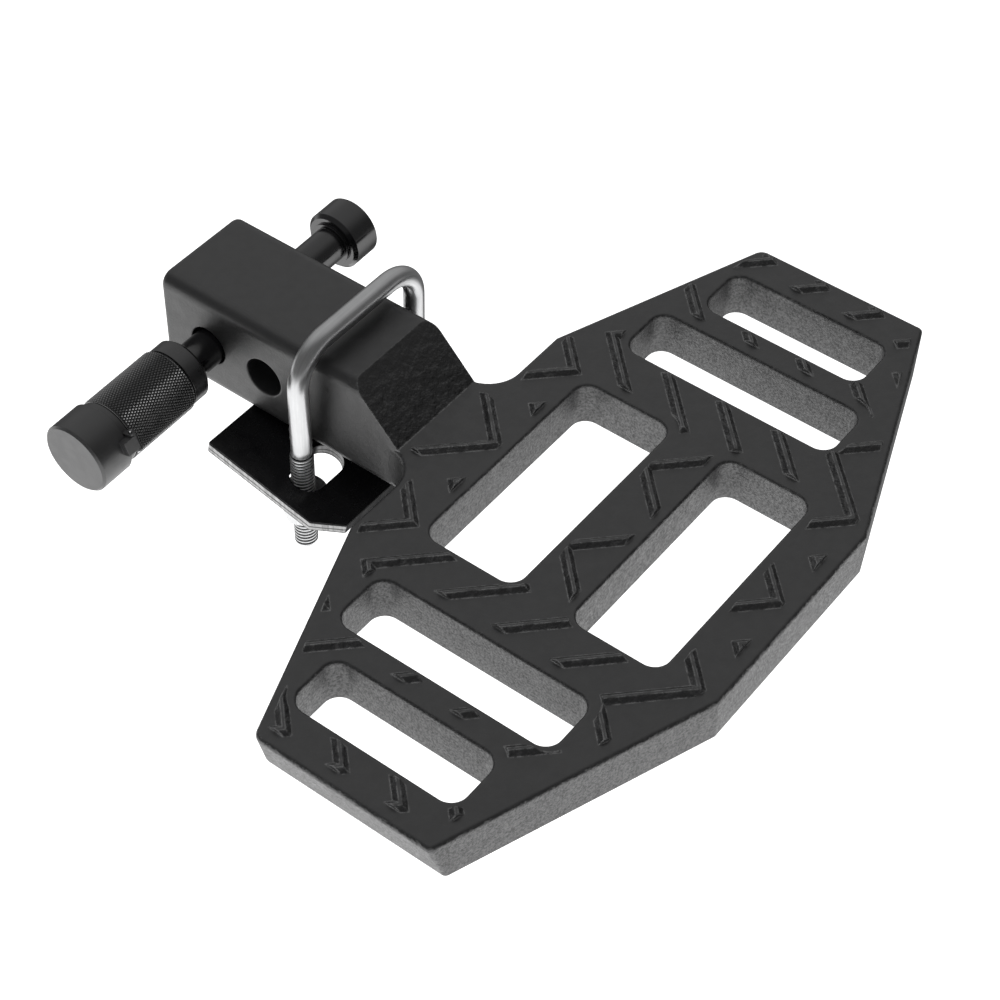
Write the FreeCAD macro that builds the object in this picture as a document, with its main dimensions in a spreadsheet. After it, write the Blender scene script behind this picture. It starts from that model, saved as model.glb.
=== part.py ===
import FreeCAD, Part
import os
from math import cos, radians, sin, tan

import Sketcher

# Hitch receiver step, in millimetres.
# The origin is the centre of the pin hole in the square shank.
# +X runs along the pin towards its head, +Y towards the shank's inner end, +Z up.

SIZES = {
    # square shank that slides into the receiver tube
    "shank_width": 50.0,
    "shank_height": 50.0,
    "shank_corner_round": 6.0,
    "shank_end_round": 2.6,
    "shank_end_distance": 24.6,
    "hole_below_middle": 1.0,
    "pin_hole_diameter": 18.0,
    "hole_edge_round": 0.6,
    "spare_hole_distance": 30.4,
    # neck between shank and tread
    "neck_slope_top": 77.7,
    "neck_slope_foot": 101.0,
    "neck_ramp_start": 92.0,
    "neck_ramp_end": 124.0,
    "neck_flare": 15.7,
    # tread slab
    "tread_drop": 23.8,
    "tread_thickness": 21.3,
    "tread_half_width": 168.0,
    "tread_rear_edge": 111.7,
    "tread_length": 160.7,
    "tread_rear_half": 67.2,
    "tread_nose_half": 51.4,
    "rear_chamfer_depth": 37.4,
    "front_chamfer_depth": 43.0,
    "side_draft": 6.6,
    "side_corner_round": 5.0,
    "front_corner_round": 2.2,
    "tread_edge_round": 1.8,
    "underside_edge_round": 0.6,
    # openings in the tread
    "slot_corner_round": 7.0,
    "slot_edge_round": 1.4,
    "side_rim": 20.2,
    "outer_slot_width": 26.6,
    "outer_web": 13.6,
    "inner_slot_width": 27.7,
    "inner_web": 26.5,
    "rear_band": 24.3,
    "rear_slot_length": 44.2,
    "middle_band": 25.6,
    "front_band": 25.5,
    "inner_slot_rear_band": 10.3,
    "inner_slot_front_band": 14.9,
    "outer_slot_rear_band": 7.0,
    "outer_slot_front_band": 11.6,
    # chevron ribs on the tread
    "rib_pitch": 26.8,
    "rib_first_row": 8.8,
    "rib_base_width": 5.3,
    "rib_top_width": 1.2,
    "rib_rise": 1.8,
    "rib_margin": 3.7,
    "rib_wide_margin": 6.8,
    "rib_slot_margin": 4.6,
    "rib_window_shift": 1.6,
    "rib_least_volume": 14.0,
    "rib_sink": 0.6,
    "rib_side_shift": 1.8,
    # U-bolt
    "rod_diameter": 8.9,
    "thread_diameter": 10.0,
    "leg_spacing": 74.0,
    "clamp_side_shift": 1.8,
    "leg_distance": 58.5,
    "rod_bend": 17.4,
    "rod_lift": 4.35,
    "leg_drop": 105.8,
    "thread_length": 52.2,
    "thread_end_chamfer": 1.0,
    # clamp plate under the shank
    "plate_width": 104.4,
    "plate_thickness": 5.5,
    "plate_rear": 40.2,
    "plate_front": 27.6,
    "plate_forward": 1.0,
    "plate_cut_side": 9.5,
    "plate_cut_front": 11.9,
    "plate_corner_round": 1.4,
    "plate_tilt": 12.4,
    "plate_slot_width": 15.8,
    "plate_slot_inner": 16.3,
    "plate_slot_overrun": 0.6,
    "plate_edge_chamfer": 0.4,
    # washers and nuts
    "washer_diameter": 20.0,
    "washer_hole": 10.5,
    "washer_thickness": 2.0,
    "spring_washer_diameter": 18.0,
    "spring_washer_hole": 10.3,
    "spring_washer_thickness": 2.2,
    "spring_washer_gap": 1.4,
    "nut_across_flats": 17.0,
    "nut_height": 8.0,
    "nut_chamfer": 1.0,
    # hitch pin
    "pin_diameter": 16.0,
    "pin_sag": 1.7,
    "head_diameter": 27.4,
    "head_length": 14.9,
    "head_distance": 55.1,
    "head_chamfer": 1.6,
    "head_rear_chamfer": 0.8,
    "head_collar_diameter": 19.6,
    "head_collar_length": 1.2,
    "pin_groove_diameter": 11.0,
    "pin_groove_width": 6.4,
    "pin_tip_length": 3.8,
    "pin_tip_chamfer": 1.0,
    # lock barrel
    "lock_distance": 39.4,
    "collar_diameter": 28.0,
    "collar_length": 8.8,
    "collar_round": 1.4,
    "sleeve_diameter": 29.8,
    "sleeve_length": 36.8,
    "sleeve_chamfer": 1.6,
    "barrel_diameter": 24.6,
    "socket_clearance": 0.06,
    "socket_depth": 22.6,
    "socket_web": 2.3,
    "seal_inset": 2.6,
    "seal_section": 1.6,
    "cam_chamber_length": 3.7,
    "cam_chamber_diameter": 8.8,
    "nose_diameter": 21.0,
    "nose_length": 5.7,
    "nose_chamfer": 0.6,
    # latch inside the barrel
    "dog_width": 6.0,
    "dog_travel": 2.4,
    "dog_foot_height": 2.3,
    "dog_slack": 0.3,
    "latch_wire": 1.0,
    # key plug
    "plug_diameter": 11.8,
    "plug_clearance": 0.06,
    "cam_thickness": 3.4,
    "cam_length": 8.2,
    "plug_groove_diameter": 9.4,
    "plug_groove_width": 2.0,
    "plug_pin_diameter": 1.6,
    "plug_pin_length": 20.0,
    "plug_pin_inset": 4.5,
    "keyway_width": 2.2,
    "keyway_height": 8.0,
    "wafer_count": 5.0,
    "wafer_pitch": 2.6,
    "wafer_thickness": 1.0,
    "wafer_width": 7.0,
    "wafer_inset": 3.5,
    # tether ring, circlip and dust cap
    "ring_diameter": 28.6,
    "ring_length": 3.3,
    "circlip_thickness": 1.1,
    "circlip_diameter": 26.2,
    "circlip_seat_diameter": 22.8,
    "circlip_gap": 7.0,
    "barrel_end_land": 1.3,
    "fit_gap": 0.3,
    "cap_diameter": 32.0,
    "cap_length": 15.8,
    "cap_wall": 2.0,
    "cap_round": 1.0,
    "hinge_radius": 17.0,
    "hinge_inset": 0.9,
    "hinge_barrel_diameter": 3.8,
    "hinge_pin_diameter": 1.8,
    "hinge_pin_length": 10.6,
    "hinge_arm_width": 6.2,
    "hinge_ear_width": 1.0,
    "hinge_arm_root": 3.4,
    "hinge_roll": 70.0,
}

document = FreeCAD.newDocument("hitch_receiver_step")
sheet = document.addObject("Spreadsheet::Sheet", "sizes")
for row, (alias, number) in enumerate(SIZES.items(), start=1):
    sheet.set("A%d" % row, alias.replace("_", " "))
    sheet.set("B%d" % row, str(number))
    sheet.setAlias("B%d" % row, alias)
document.recompute()

PARTS = []


class Size:
    """A length or angle that knows its number and its formula on the sheet."""

    def __init__(self, number, formula):
        self.number = float(number)
        self.formula = formula

    def __float__(self):
        return self.number

    def _join(self, other, sign, number):
        text = other.formula if isinstance(other, Size) else repr(float(other))
        return Size(number, "(%s %s %s)" % (self.formula, sign, text))

    def __add__(self, other):
        return self._join(other, "+", self.number + float(other))

    def __sub__(self, other):
        return self._join(other, "-", self.number - float(other))

    def __mul__(self, other):
        return self._join(other, "*", self.number * float(other))

    def __truediv__(self, other):
        return self._join(other, "/", self.number / float(other))

    def __neg__(self):
        return Size(-self.number, "(0 - %s)" % self.formula)


class Sheet:
    """Every cell of the sheet by its alias."""

    def __getattr__(self, alias):
        return Size(sheet.get(alias), "sizes." + alias)


S = Sheet()
ZERO = Size(0.0, "0")


def trig(name, function, angle):
    return Size(function(radians(float(angle))), "%s(%s)" % (name, angle.formula))


def bind(thing, **properties):
    for name, value in properties.items():
        path = name.replace("__", ".")
        thing.setExpression(path, value.formula)


def vector(x=0.0, y=0.0, z=0.0):
    return FreeCAD.Vector(float(x), float(y), float(z))


def move_to(thing, x=None, y=None, z=None, rotation=None):
    """Places an object at sizes from the sheet, turned by a fixed rotation."""
    place = FreeCAD.Placement(vector(), rotation or FreeCAD.Rotation())
    thing.Placement = place
    for letter, value in (("x", x), ("y", y), ("z", z)):
        if value is not None:
            thing.setExpression("Placement.Base." + letter, value.formula)


def finish(thing, label):
    thing.Label = label
    PARTS.append(thing)
    return thing


# Sketch and body helpers


def origin_plane(body, role):
    planes = [item for item in body.Origin.OriginFeatures if item.Role == role]
    return planes[0]


def new_body(name):
    return document.addObject("PartDesign::Body", name)


def polygon_sketch(body, name, role, points, lift=None):
    """A closed outline whose corners are bound to the sheet."""
    sketch = body.newObject("Sketcher::SketchObject", name)
    sketch.AttachmentSupport = [(origin_plane(body, role), "")]
    sketch.MapMode = "FlatFace"
    if lift is not None:
        sketch.setExpression("AttachmentOffset.Base.z", lift.formula)
    add_loop(sketch, points)
    return sketch


def add_loop(sketch, points):
    count = len(points)
    first = sketch.GeometryCount
    for index, (start_x, start_y) in enumerate(points):
        end_x, end_y = points[(index + 1) % count]
        line = Part.LineSegment(vector(start_x, start_y), vector(end_x, end_y))
        sketch.addGeometry(line, False)
    for index in range(count):
        after = first + (index + 1) % count
        sketch.addConstraint(Sketcher.Constraint("Coincident", first + index, 2, after, 1))
    for index, (corner_x, corner_y) in enumerate(points):
        line = first + index
        hold_corner(sketch, line, "DistanceX", corner_x, -2)
        hold_corner(sketch, line, "DistanceY", corner_y, -1)


def hold_corner(sketch, line, kind, value, axis):
    """Ties a line's start to the sketch's axis, or at a bound distance from it."""
    if value is ZERO:
        sketch.addConstraint(Sketcher.Constraint("PointOnObject", line, 1, axis))
        return
    rule = Sketcher.Constraint(kind, -1, 1, line, 1, float(value))
    place = sketch.addConstraint(rule)
    sketch.setExpression("Constraints[%d]" % place, value.formula)


def circle_sketch(body, name, role, circles, lift=None):
    sketch = body.newObject("Sketcher::SketchObject", name)
    sketch.AttachmentSupport = [(origin_plane(body, role), "")]
    sketch.MapMode = "FlatFace"
    if lift is not None:
        sketch.setExpression("AttachmentOffset.Base.z", lift.formula)
    for middle_x, middle_y, diameter in circles:
        circle = Part.Circle(vector(middle_x, middle_y), vector(0, 0, 1), float(diameter) / 2)
        ring = sketch.addGeometry(circle, False)
        rule = sketch.addConstraint(Sketcher.Constraint("Diameter", ring, float(diameter)))
        sketch.setExpression("Constraints[%d]" % rule, diameter.formula)
        for kind, value, axis in (("DistanceX", middle_x, -2), ("DistanceY", middle_y, -1)):
            if value is ZERO:
                sketch.addConstraint(Sketcher.Constraint("PointOnObject", ring, 3, axis))
            else:
                tie = Sketcher.Constraint(kind, -1, 1, ring, 3, float(value))
                place = sketch.addConstraint(tie)
                sketch.setExpression("Constraints[%d]" % place, value.formula)
    return sketch


def pad(body, name, sketch, length, reverse=False, both_ways=False):
    feature = body.newObject("PartDesign::Pad", name)
    feature.Profile = sketch
    feature.Reversed = reverse
    feature.Midplane = both_ways
    bind(feature, Length=length)
    body.Tip = feature
    return feature


def pocket_through(body, name, sketch):
    """Cuts a sketch right through, both ways."""
    feature = body.newObject("PartDesign::Pocket", name)
    feature.Profile = sketch
    feature.Type = "ThroughAll"
    feature.Midplane = True
    body.Tip = feature
    document.recompute()
    return feature


def edge_names(shape, wanted):
    return ["Edge%d" % (index + 1) for index, edge in enumerate(shape.Edges) if wanted(edge)]


def round_edges(body, name, radius, wanted):
    document.recompute()
    base = body.Tip
    feature = body.newObject("PartDesign::Fillet", name)
    feature.Base = (base, edge_names(base.Shape, wanted))
    bind(feature, Radius=radius)
    body.Tip = feature
    return feature


def chamfer_edges(body, name, size, wanted):
    document.recompute()
    base = body.Tip
    feature = body.newObject("PartDesign::Chamfer", name)
    feature.Base = (base, edge_names(base.Shape, wanted))
    bind(feature, Size=size)
    body.Tip = feature
    return feature


def turned(name, profile, upright=False):
    """A turned body: profile corners are (along the axis, radius)."""
    body = new_body(name)
    role = "XZ_Plane" if upright else "XY_Plane"
    corners = [(radius, along) for along, radius in profile] if upright else profile
    sketch = polygon_sketch(body, name + "Profile", role, corners)
    feature = body.newObject("PartDesign::Revolution", name + "Turning")
    feature.Profile = sketch
    feature.ReferenceAxis = (sketch, ["V_Axis" if upright else "H_Axis"])
    feature.Angle = 360.0
    body.Tip = feature
    return body


def is_along(edge, direction, tolerance=0.001):
    if edge.Curve.TypeId != "Part::GeomLine":
        return False
    ends = [vertex.Point for vertex in edge.Vertexes]
    run = (ends[1] - ends[0]).normalize()
    return abs(abs(run.dot(direction)) - 1.0) < tolerance


def all_at(edge, letter, value, tolerance=0.01):
    box = edge.BoundBox
    low = getattr(box, letter + "Min")
    high = getattr(box, letter + "Max")
    return abs(low - float(value)) < tolerance and abs(high - float(value)) < tolerance


def box(name, low, high):
    """A block between two corners given by sizes on the sheet."""
    thing = document.addObject("Part::Box", name)
    for letter, start, end in zip(("x", "y", "z"), low, high):
        thing.setExpression("Placement.Base." + letter, start.formula)
    bind(thing, Length=high[0] - low[0], Width=high[1] - low[1], Height=high[2] - low[2])
    return thing


def rod(name, diameter, length, x=ZERO, y=ZERO, z=ZERO, direction=(0, 0, 1)):
    thing = document.addObject("Part::Cylinder", name)
    bind(thing, Radius=diameter / 2, Height=length)
    turn = FreeCAD.Rotation(FreeCAD.Vector(0, 0, 1), FreeCAD.Vector(*direction))
    move_to(thing, x, y, z, turn)
    return thing


def join(name, *things):
    thing = document.addObject("Part::MultiFuse", name)
    thing.Shapes = list(things)
    thing.Refine = True
    return thing


def cut(name, base, *tools):
    tool = tools[0] if len(tools) == 1 else join(name + "Tools", *tools)
    thing = document.addObject("Part::Cut", name)
    thing.Base = base
    thing.Tool = tool
    thing.Refine = True
    return thing


def common(name, base, tool):
    thing = document.addObject("Part::Common", name)
    thing.Base = base
    thing.Tool = tool
    return thing


# Levels shared by several pieces

shank_top = S.shank_height / 2 + S.hole_below_middle
shank_bottom = shank_top - S.shank_height
tread_top = shank_top - S.tread_drop
tread_bottom = tread_top - S.tread_thickness
tread_nose = -(S.tread_rear_edge + S.tread_length)
half_shank = S.shank_width / 2


def shank_and_neck():
    """The square shank with its two cross holes, and the neck down to the tread."""
    body = new_body("ShankBody")
    side = [
        (S.shank_end_distance, shank_top),
        (-S.neck_slope_top, shank_top),
        (-S.neck_slope_foot, tread_top),
        (-S.neck_ramp_end, tread_top),
        (-S.neck_ramp_end, tread_bottom),
        (-S.neck_ramp_start, shank_bottom),
        (S.shank_end_distance, shank_bottom),
    ]
    outline = polygon_sketch(body, "ShankSide", "YZ_Plane", side)
    pad(body, "ShankPad", outline, S.shank_width, both_ways=True)

    def long_edge(edge):
        at_level = all_at(edge, "Z", shank_top) or all_at(edge, "Z", shank_bottom)
        return at_level and is_along(edge, vector(0, 1, 0))

    round_edges(body, "ShankCorners", S.shank_corner_round, long_edge)
    round_edges(body, "ShankEndEdges", S.shank_end_round,
                lambda edge: all_at(edge, "Y", S.shank_end_distance))
    holes = [(ZERO, ZERO, S.pin_hole_diameter),
             (-S.spare_hole_distance, ZERO, S.pin_hole_diameter)]
    rings = circle_sketch(body, "PinHoles", "YZ_Plane", holes)
    pocket_through(body, "PinHoleCut", rings)

    def hole_mouth(edge):
        if edge.Curve.TypeId != "Part::GeomCircle":
            return False
        on_side = all_at(edge, "X", half_shank) or all_at(edge, "X", -half_shank)
        return on_side and abs(edge.Curve.Radius - float(S.pin_hole_diameter) / 2) < 0.01

    round_edges(body, "HoleMouths", S.hole_edge_round, hole_mouth)
    return body


def line_across(x, start, end):
    """Height on the straight line through two corners, at a given x."""
    slope = (end[1] - start[1]) / (end[0] - start[0])
    return start[1] + (x - start[0]) * slope


REAR_START = (S.tread_rear_half, -S.tread_rear_edge)
REAR_END = (S.tread_half_width, -(S.tread_rear_edge + S.rear_chamfer_depth))
NOSE_START = (S.tread_nose_half, tread_nose)
NOSE_END = (S.tread_half_width, tread_nose + S.front_chamfer_depth)

OUTER_SLOT_EDGE = S.tread_half_width - S.side_rim
OUTER_SLOT_INNER = OUTER_SLOT_EDGE - S.outer_slot_width
INNER_SLOT_EDGE = OUTER_SLOT_INNER - S.outer_web
INNER_SLOT_INNER = INNER_SLOT_EDGE - S.inner_slot_width
CENTRE_SLOT_HALF = INNER_SLOT_INNER - S.inner_web


def slot_boxes():
    """Low and high corners of the six openings in plan."""
    rear_end = -(S.tread_rear_edge + S.rear_band)
    rear_start = rear_end - S.rear_slot_length
    front_end = rear_start - S.middle_band
    front_start = tread_nose + S.front_band
    inner_end = line_across(INNER_SLOT_EDGE, REAR_START, REAR_END) - S.inner_slot_rear_band
    inner_start = line_across(INNER_SLOT_EDGE, NOSE_START, NOSE_END) + S.inner_slot_front_band
    outer_end = line_across(OUTER_SLOT_EDGE, REAR_START, REAR_END) - S.outer_slot_rear_band
    outer_start = line_across(OUTER_SLOT_EDGE, NOSE_START, NOSE_END) + S.outer_slot_front_band
    boxes = [
        ((-CENTRE_SLOT_HALF, rear_start), (CENTRE_SLOT_HALF, rear_end)),
        ((-CENTRE_SLOT_HALF, front_start), (CENTRE_SLOT_HALF, front_end)),
    ]
    for inner, outer, start, end in (
        (INNER_SLOT_INNER, INNER_SLOT_EDGE, inner_start, inner_end),
        (OUTER_SLOT_INNER, OUTER_SLOT_EDGE, outer_start, outer_end),
    ):
        boxes.append(((inner, start), (outer, end)))
        boxes.append(((-outer, start), (-inner, end)))
    return boxes


def tread_outline():
    """Corners of the tread in plan, with a tab that runs into the neck."""
    right = [
        NOSE_START,
        NOSE_END,
        REAR_END,
        REAR_START,
        (half_shank, -S.tread_rear_edge),
        (half_shank, -S.neck_slope_top),
    ]
    left = [(-x, y) for x, y in reversed(right)]
    return right + left


def tread_slab():
    """The flat slab: outline, sloped ends, six openings and rounded edges."""
    body = new_body("TreadBody")
    outline = polygon_sketch(body, "TreadOutline", "XY_Plane", tread_outline(), tread_top)
    pad(body, "TreadPad", outline, S.tread_thickness, reverse=True)

    draft = [
        (S.tread_half_width, tread_top),
        (S.tread_half_width + S.side_draft, tread_top),
        (S.tread_half_width + S.side_draft, tread_bottom),
        (S.tread_half_width - S.side_draft, tread_bottom),
    ]
    for side, corners in (("Right", draft), ("Left", [(-x, z) for x, z in draft])):
        wedge = polygon_sketch(body, side + "Draft", "XZ_Plane", corners)
        pocket_through(body, side + "DraftCut", wedge)

    def upright_at(*corners):
        def wanted(edge):
            ends = sorted((vertex.Point for vertex in edge.Vertexes), key=lambda end: -end.z)
            if len(ends) < 2 or ends[0].z - ends[1].z < float(S.tread_thickness) / 2:
                return False
            return any(abs(abs(ends[0].x) - float(x)) < 0.01 and abs(ends[0].y - float(y)) < 0.01
                       for x, y in corners)
        return wanted

    flare_corner = (half_shank, -S.tread_rear_edge)
    round_edges(body, "NeckFlare", S.neck_flare, upright_at(flare_corner))
    round_edges(body, "SideCorners", S.side_corner_round, upright_at(REAR_END))
    round_edges(body, "FrontCorners", S.front_corner_round, upright_at(NOSE_START, NOSE_END))

    def outer_rim(level):
        return lambda edge: (all_at(edge, "Z", level)
                             and edge.BoundBox.YMax < 0.1 - float(S.tread_rear_edge))

    round_edges(body, "TreadRims", S.tread_edge_round, outer_rim(tread_top))
    round_edges(body, "TreadFootRims", S.underside_edge_round, outer_rim(tread_bottom))
    loops = slot_boxes()
    slots = polygon_sketch(body, "Slots", "XY_Plane", rectangle(loops[0]), tread_top)
    for loop in loops[1:]:
        add_loop(slots, rectangle(loop))
    pocket_through(body, "SlotCut", slots)
    corners = [(abs(float(x)), y) for low, high in loops for x in (low[0], high[0])
               for y in (low[1], high[1])]
    round_edges(body, "SlotCorners", S.slot_corner_round, upright_at(*corners))

    def slot_rim(level):
        def wanted(edge):
            middle = edge.CenterOfMass
            return all_at(edge, "Z", level) and any(
                float(low[0]) - 0.01 < middle.x < float(high[0]) + 0.01
                and float(low[1]) - 0.01 < middle.y < float(high[1]) + 0.01
                for low, high in loops)
        return wanted

    round_edges(body, "SlotRims", S.slot_edge_round, slot_rim(tread_top))
    round_edges(body, "SlotFootRims", S.underside_edge_round, slot_rim(tread_bottom))
    return body


def rectangle(corners):
    (low_x, low_y), (high_x, high_y) = corners
    return [(low_x, low_y), (high_x, low_y), (high_x, high_y), (low_x, high_y)]


def inset_outline(points, distances):
    """Moves each side of a counter-clockwise outline inwards by its own distance."""
    lines = []
    for index, start in enumerate(points):
        end = points[(index + 1) % len(points)]
        run = (end - start).normalize()
        normal = vector(-run.y, run.x)
        lines.append((start + normal * distances[index], run))
    corners = []
    for index, (point, run) in enumerate(lines):
        before, before_run = lines[index - 1]
        gap = point - before
        cross = before_run.x * run.y - before_run.y * run.x
        reach = (gap.x * run.y - gap.y * run.x) / cross
        corners.append(before + before_run * reach)
    return corners


def prism(points, low, high):
    face = Part.Face(Part.makePolygon(points + [points[0]]))
    solid = face.extrude(vector(0, 0, high - low))
    solid.translate(vector(0, 0, low))
    return solid


def rib_leg(start, end, low, high):
    """One sloped-sided rib from start to end, its section taken from the sheet."""
    run = (end - start).normalize()
    side = vector(-run.y, run.x)
    rise = float(S.rib_rise)
    widening = (float(S.rib_base_width) - float(S.rib_top_width)) / 2 / rise
    half_top = float(S.rib_top_width) / 2
    half_low = half_top + widening * (high - low)
    loops = []
    for half, level in ((half_low, low), (half_top, high)):
        ends = [start - run * half, end + run * half]
        corners = [ends[0] - side * half, ends[1] - side * half,
                   ends[1] + side * half, ends[0] + side * half]
        corners = [vector(point.x, point.y, level) for point in corners]
        loops.append(Part.makePolygon(corners + [corners[0]]))
    return Part.makeLoft(loops, True, True)


def tread_ribs():
    """The raised chevrons, kept clear of the rims by a flat margin."""
    top = float(tread_top)
    low = top - float(S.rib_sink)
    high = top + float(S.rib_rise)
    margin = float(S.rib_margin)
    pitch = float(S.rib_pitch)
    outline = [vector(x, y) for x, y in (NOSE_START, NOSE_END, REAR_END, REAR_START)]
    outline += [vector(-x, y) for x, y in (REAR_START, REAR_END, NOSE_END, NOSE_START)]
    sides = [margin] * 5 + [float(S.rib_wide_margin)] * 3
    region = prism(inset_outline(outline, sides), low - 1.0, high + 1.0)
    neck_pad = prism([vector(x, y) for x, y in (
        (half_shank * -1 + margin, -S.tread_rear_edge - S.rear_band / 2),
        (half_shank - margin, -S.tread_rear_edge - S.rear_band / 2),
        (half_shank - margin, -S.neck_slope_foot - margin),
        (half_shank * -1 + margin, -S.neck_slope_foot - margin))], low - 1.0, high + 1.0)
    region = region.fuse(neck_pad).removeSplitter()
    holes = []
    shift = float(S.rib_window_shift)
    reach = float(S.rib_slot_margin)
    for slot_low, slot_high in slot_boxes():
        near = vector(slot_low[0], slot_low[1]) + vector(shift - reach, -reach)
        far = vector(slot_high[0], slot_high[1]) + vector(shift + reach, reach)
        corners = [vector(near.x, near.y), vector(far.x, near.y),
                   vector(far.x, far.y), vector(near.x, far.y)]
        hole = prism(corners, low - 2.0, high + 2.0)
        upright = [edge for edge in hole.Edges if is_along(edge, vector(0, 0, 1))]
        holes.append(hole.makeFillet(float(S.slot_corner_round) + reach, upright))
    region = region.cut(holes)
    span = int(float(S.tread_half_width) / pitch) + 2
    rows = int(float(S.tread_length) / pitch) + 2
    legs = []
    for row in range(-1, rows):
        base = float(tread_nose) + float(S.rib_first_row) + row * pitch
        for step in range(-span, span):
            near = base + (pitch if step % 2 else 0.0)
            far = base + (0.0 if step % 2 else pitch)
            start = vector(step * pitch + float(S.rib_side_shift), near)
            end = vector((step + 1) * pitch + float(S.rib_side_shift), far)
            leg = rib_leg(start, end, low, high)
            clipped = leg.common(region)
            legs.extend(solid for solid in clipped.Solids
                        if solid.Volume > float(S.rib_least_volume))
    ribs = legs[0].fuse(legs[1:]).removeSplitter()
    thing = document.addObject("Part::Feature", "TreadRibs")
    thing.Shape = Part.makeCompound(ribs.Solids)
    return thing


def step_casting():
    whole = join("CastingShape", shank_and_neck(), tread_slab(), tread_ribs())
    return finish(whole, "step_casting")


# U-bolt, plate, washers and nuts

half_legs = S.leg_spacing / 2
rod_level = shank_top + S.rod_lift + S.rod_diameter / 2
leg_end = rod_level - S.leg_drop
thread_top = leg_end + S.thread_length


def u_bolt():
    """One round bar bent twice, threaded at both ends."""
    pieces = []
    bend_level = rod_level - S.rod_bend
    bar_half = half_legs - S.rod_bend
    bar = rod("CrossBar", S.rod_diameter, bar_half * 2, S.clamp_side_shift - bar_half,
              -S.leg_distance, rod_level, (1, 0, 0))
    pieces.append(bar)
    for side, sign in (("Left", -1), ("Right", 1)):
        leg_x = S.clamp_side_shift + half_legs * sign
        bend = document.addObject("Part::Torus", side + "Bend")
        bind(bend, Radius1=S.rod_bend, Radius2=S.rod_diameter / 2)
        bend.Angle3 = 90.0
        turn = FreeCAD.Rotation(vector(1, 0, 0), 90.0)
        if sign < 0:
            turn = FreeCAD.Rotation(vector(0, 0, 1), 180.0).multiply(turn)
        bend_x = S.clamp_side_shift + bar_half * sign
        move_to(bend, bend_x, -S.leg_distance, bend_level, turn)
        shank = rod(side + "Leg", S.rod_diameter, bend_level - thread_top,
                    leg_x, -S.leg_distance, thread_top)
        thread = rod(side + "Thread", S.thread_diameter, S.thread_length - S.thread_end_chamfer,
                     leg_x, -S.leg_distance, leg_end + S.thread_end_chamfer)
        tip = document.addObject("Part::Cone", side + "Tip")
        bind(tip, Radius1=S.thread_diameter / 2 - S.thread_end_chamfer,
             Radius2=S.thread_diameter / 2, Height=S.thread_end_chamfer)
        move_to(tip, leg_x, -S.leg_distance, leg_end)
        pieces += [bend, shank, thread, tip]
    return finish(join("UBoltShape", *pieces), "u_bolt")


plate_slope = trig("tan", tan, S.plate_tilt)
plate_pivot = (shank_bottom - S.fit_gap) - S.plate_rear * trig("sin", sin, S.plate_tilt)
plate_underside = plate_pivot - S.plate_thickness / trig("cos", cos, S.plate_tilt)
washer_top = plate_underside - S.washer_diameter / 2 * plate_slope - S.fit_gap


def anti_rattle_plate():
    """A flat plate with cut front corners and a long slot for each leg."""
    body = new_body("PlateBody")
    half = S.plate_width / 2
    right = [
        (half - S.plate_cut_side, -S.plate_front),
        (half, S.plate_cut_front - S.plate_front),
        (half, S.plate_rear),
    ]
    outline = right + [(-x, y) for x, y in reversed(right)]
    sketch = polygon_sketch(body, "PlateOutline", "XY_Plane", outline)
    pad(body, "PlatePad", sketch, S.plate_thickness, reverse=True)
    slot_outer = half_legs + S.thread_diameter / 2 + S.plate_slot_overrun
    reach = S.plate_slot_width / 2
    slots = None
    for sign in (-1, 1):
        corners = [(S.plate_slot_inner * sign, -reach), (slot_outer * sign, -reach),
                   (slot_outer * sign, reach), (S.plate_slot_inner * sign, reach)]
        if slots is None:
            slots = polygon_sketch(body, "PlateSlots", "XY_Plane", corners)
        else:
            add_loop(slots, corners)
    pocket_through(body, "PlateSlotCut", slots)

    def upright(edge, at_slot):
        point = edge.Vertexes[0].Point
        on_slot = abs(abs(point.y) - float(reach)) < 0.01
        return is_along(edge, vector(0, 0, 1)) and on_slot == at_slot

    round_edges(body, "SlotEnds", reach - S.plate_edge_chamfer, lambda edge: upright(edge, True))
    round_edges(body, "PlateCorners", S.plate_corner_round, lambda edge: upright(edge, False))

    def rim(edge):
        if not (all_at(edge, "Z", ZERO) or all_at(edge, "Z", -S.plate_thickness)):
            return False
        middle = edge.CenterOfMass
        outside = abs(middle.y) > float(reach) + 0.5
        return outside or abs(middle.x) > float(half) - 0.5

    chamfer_edges(body, "PlateRim", S.plate_edge_chamfer, rim)
    turn = FreeCAD.Rotation(vector(1, 0, 0), float(S.plate_tilt))
    move_to(body, S.clamp_side_shift, -(S.leg_distance + S.plate_forward), plate_pivot, turn)
    return finish(body, "anti_rattle_plate")


def ring_profile(low, high, hole, outer):
    return [(low, hole / 2), (low, outer / 2), (high, outer / 2), (high, hole / 2)]


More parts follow.
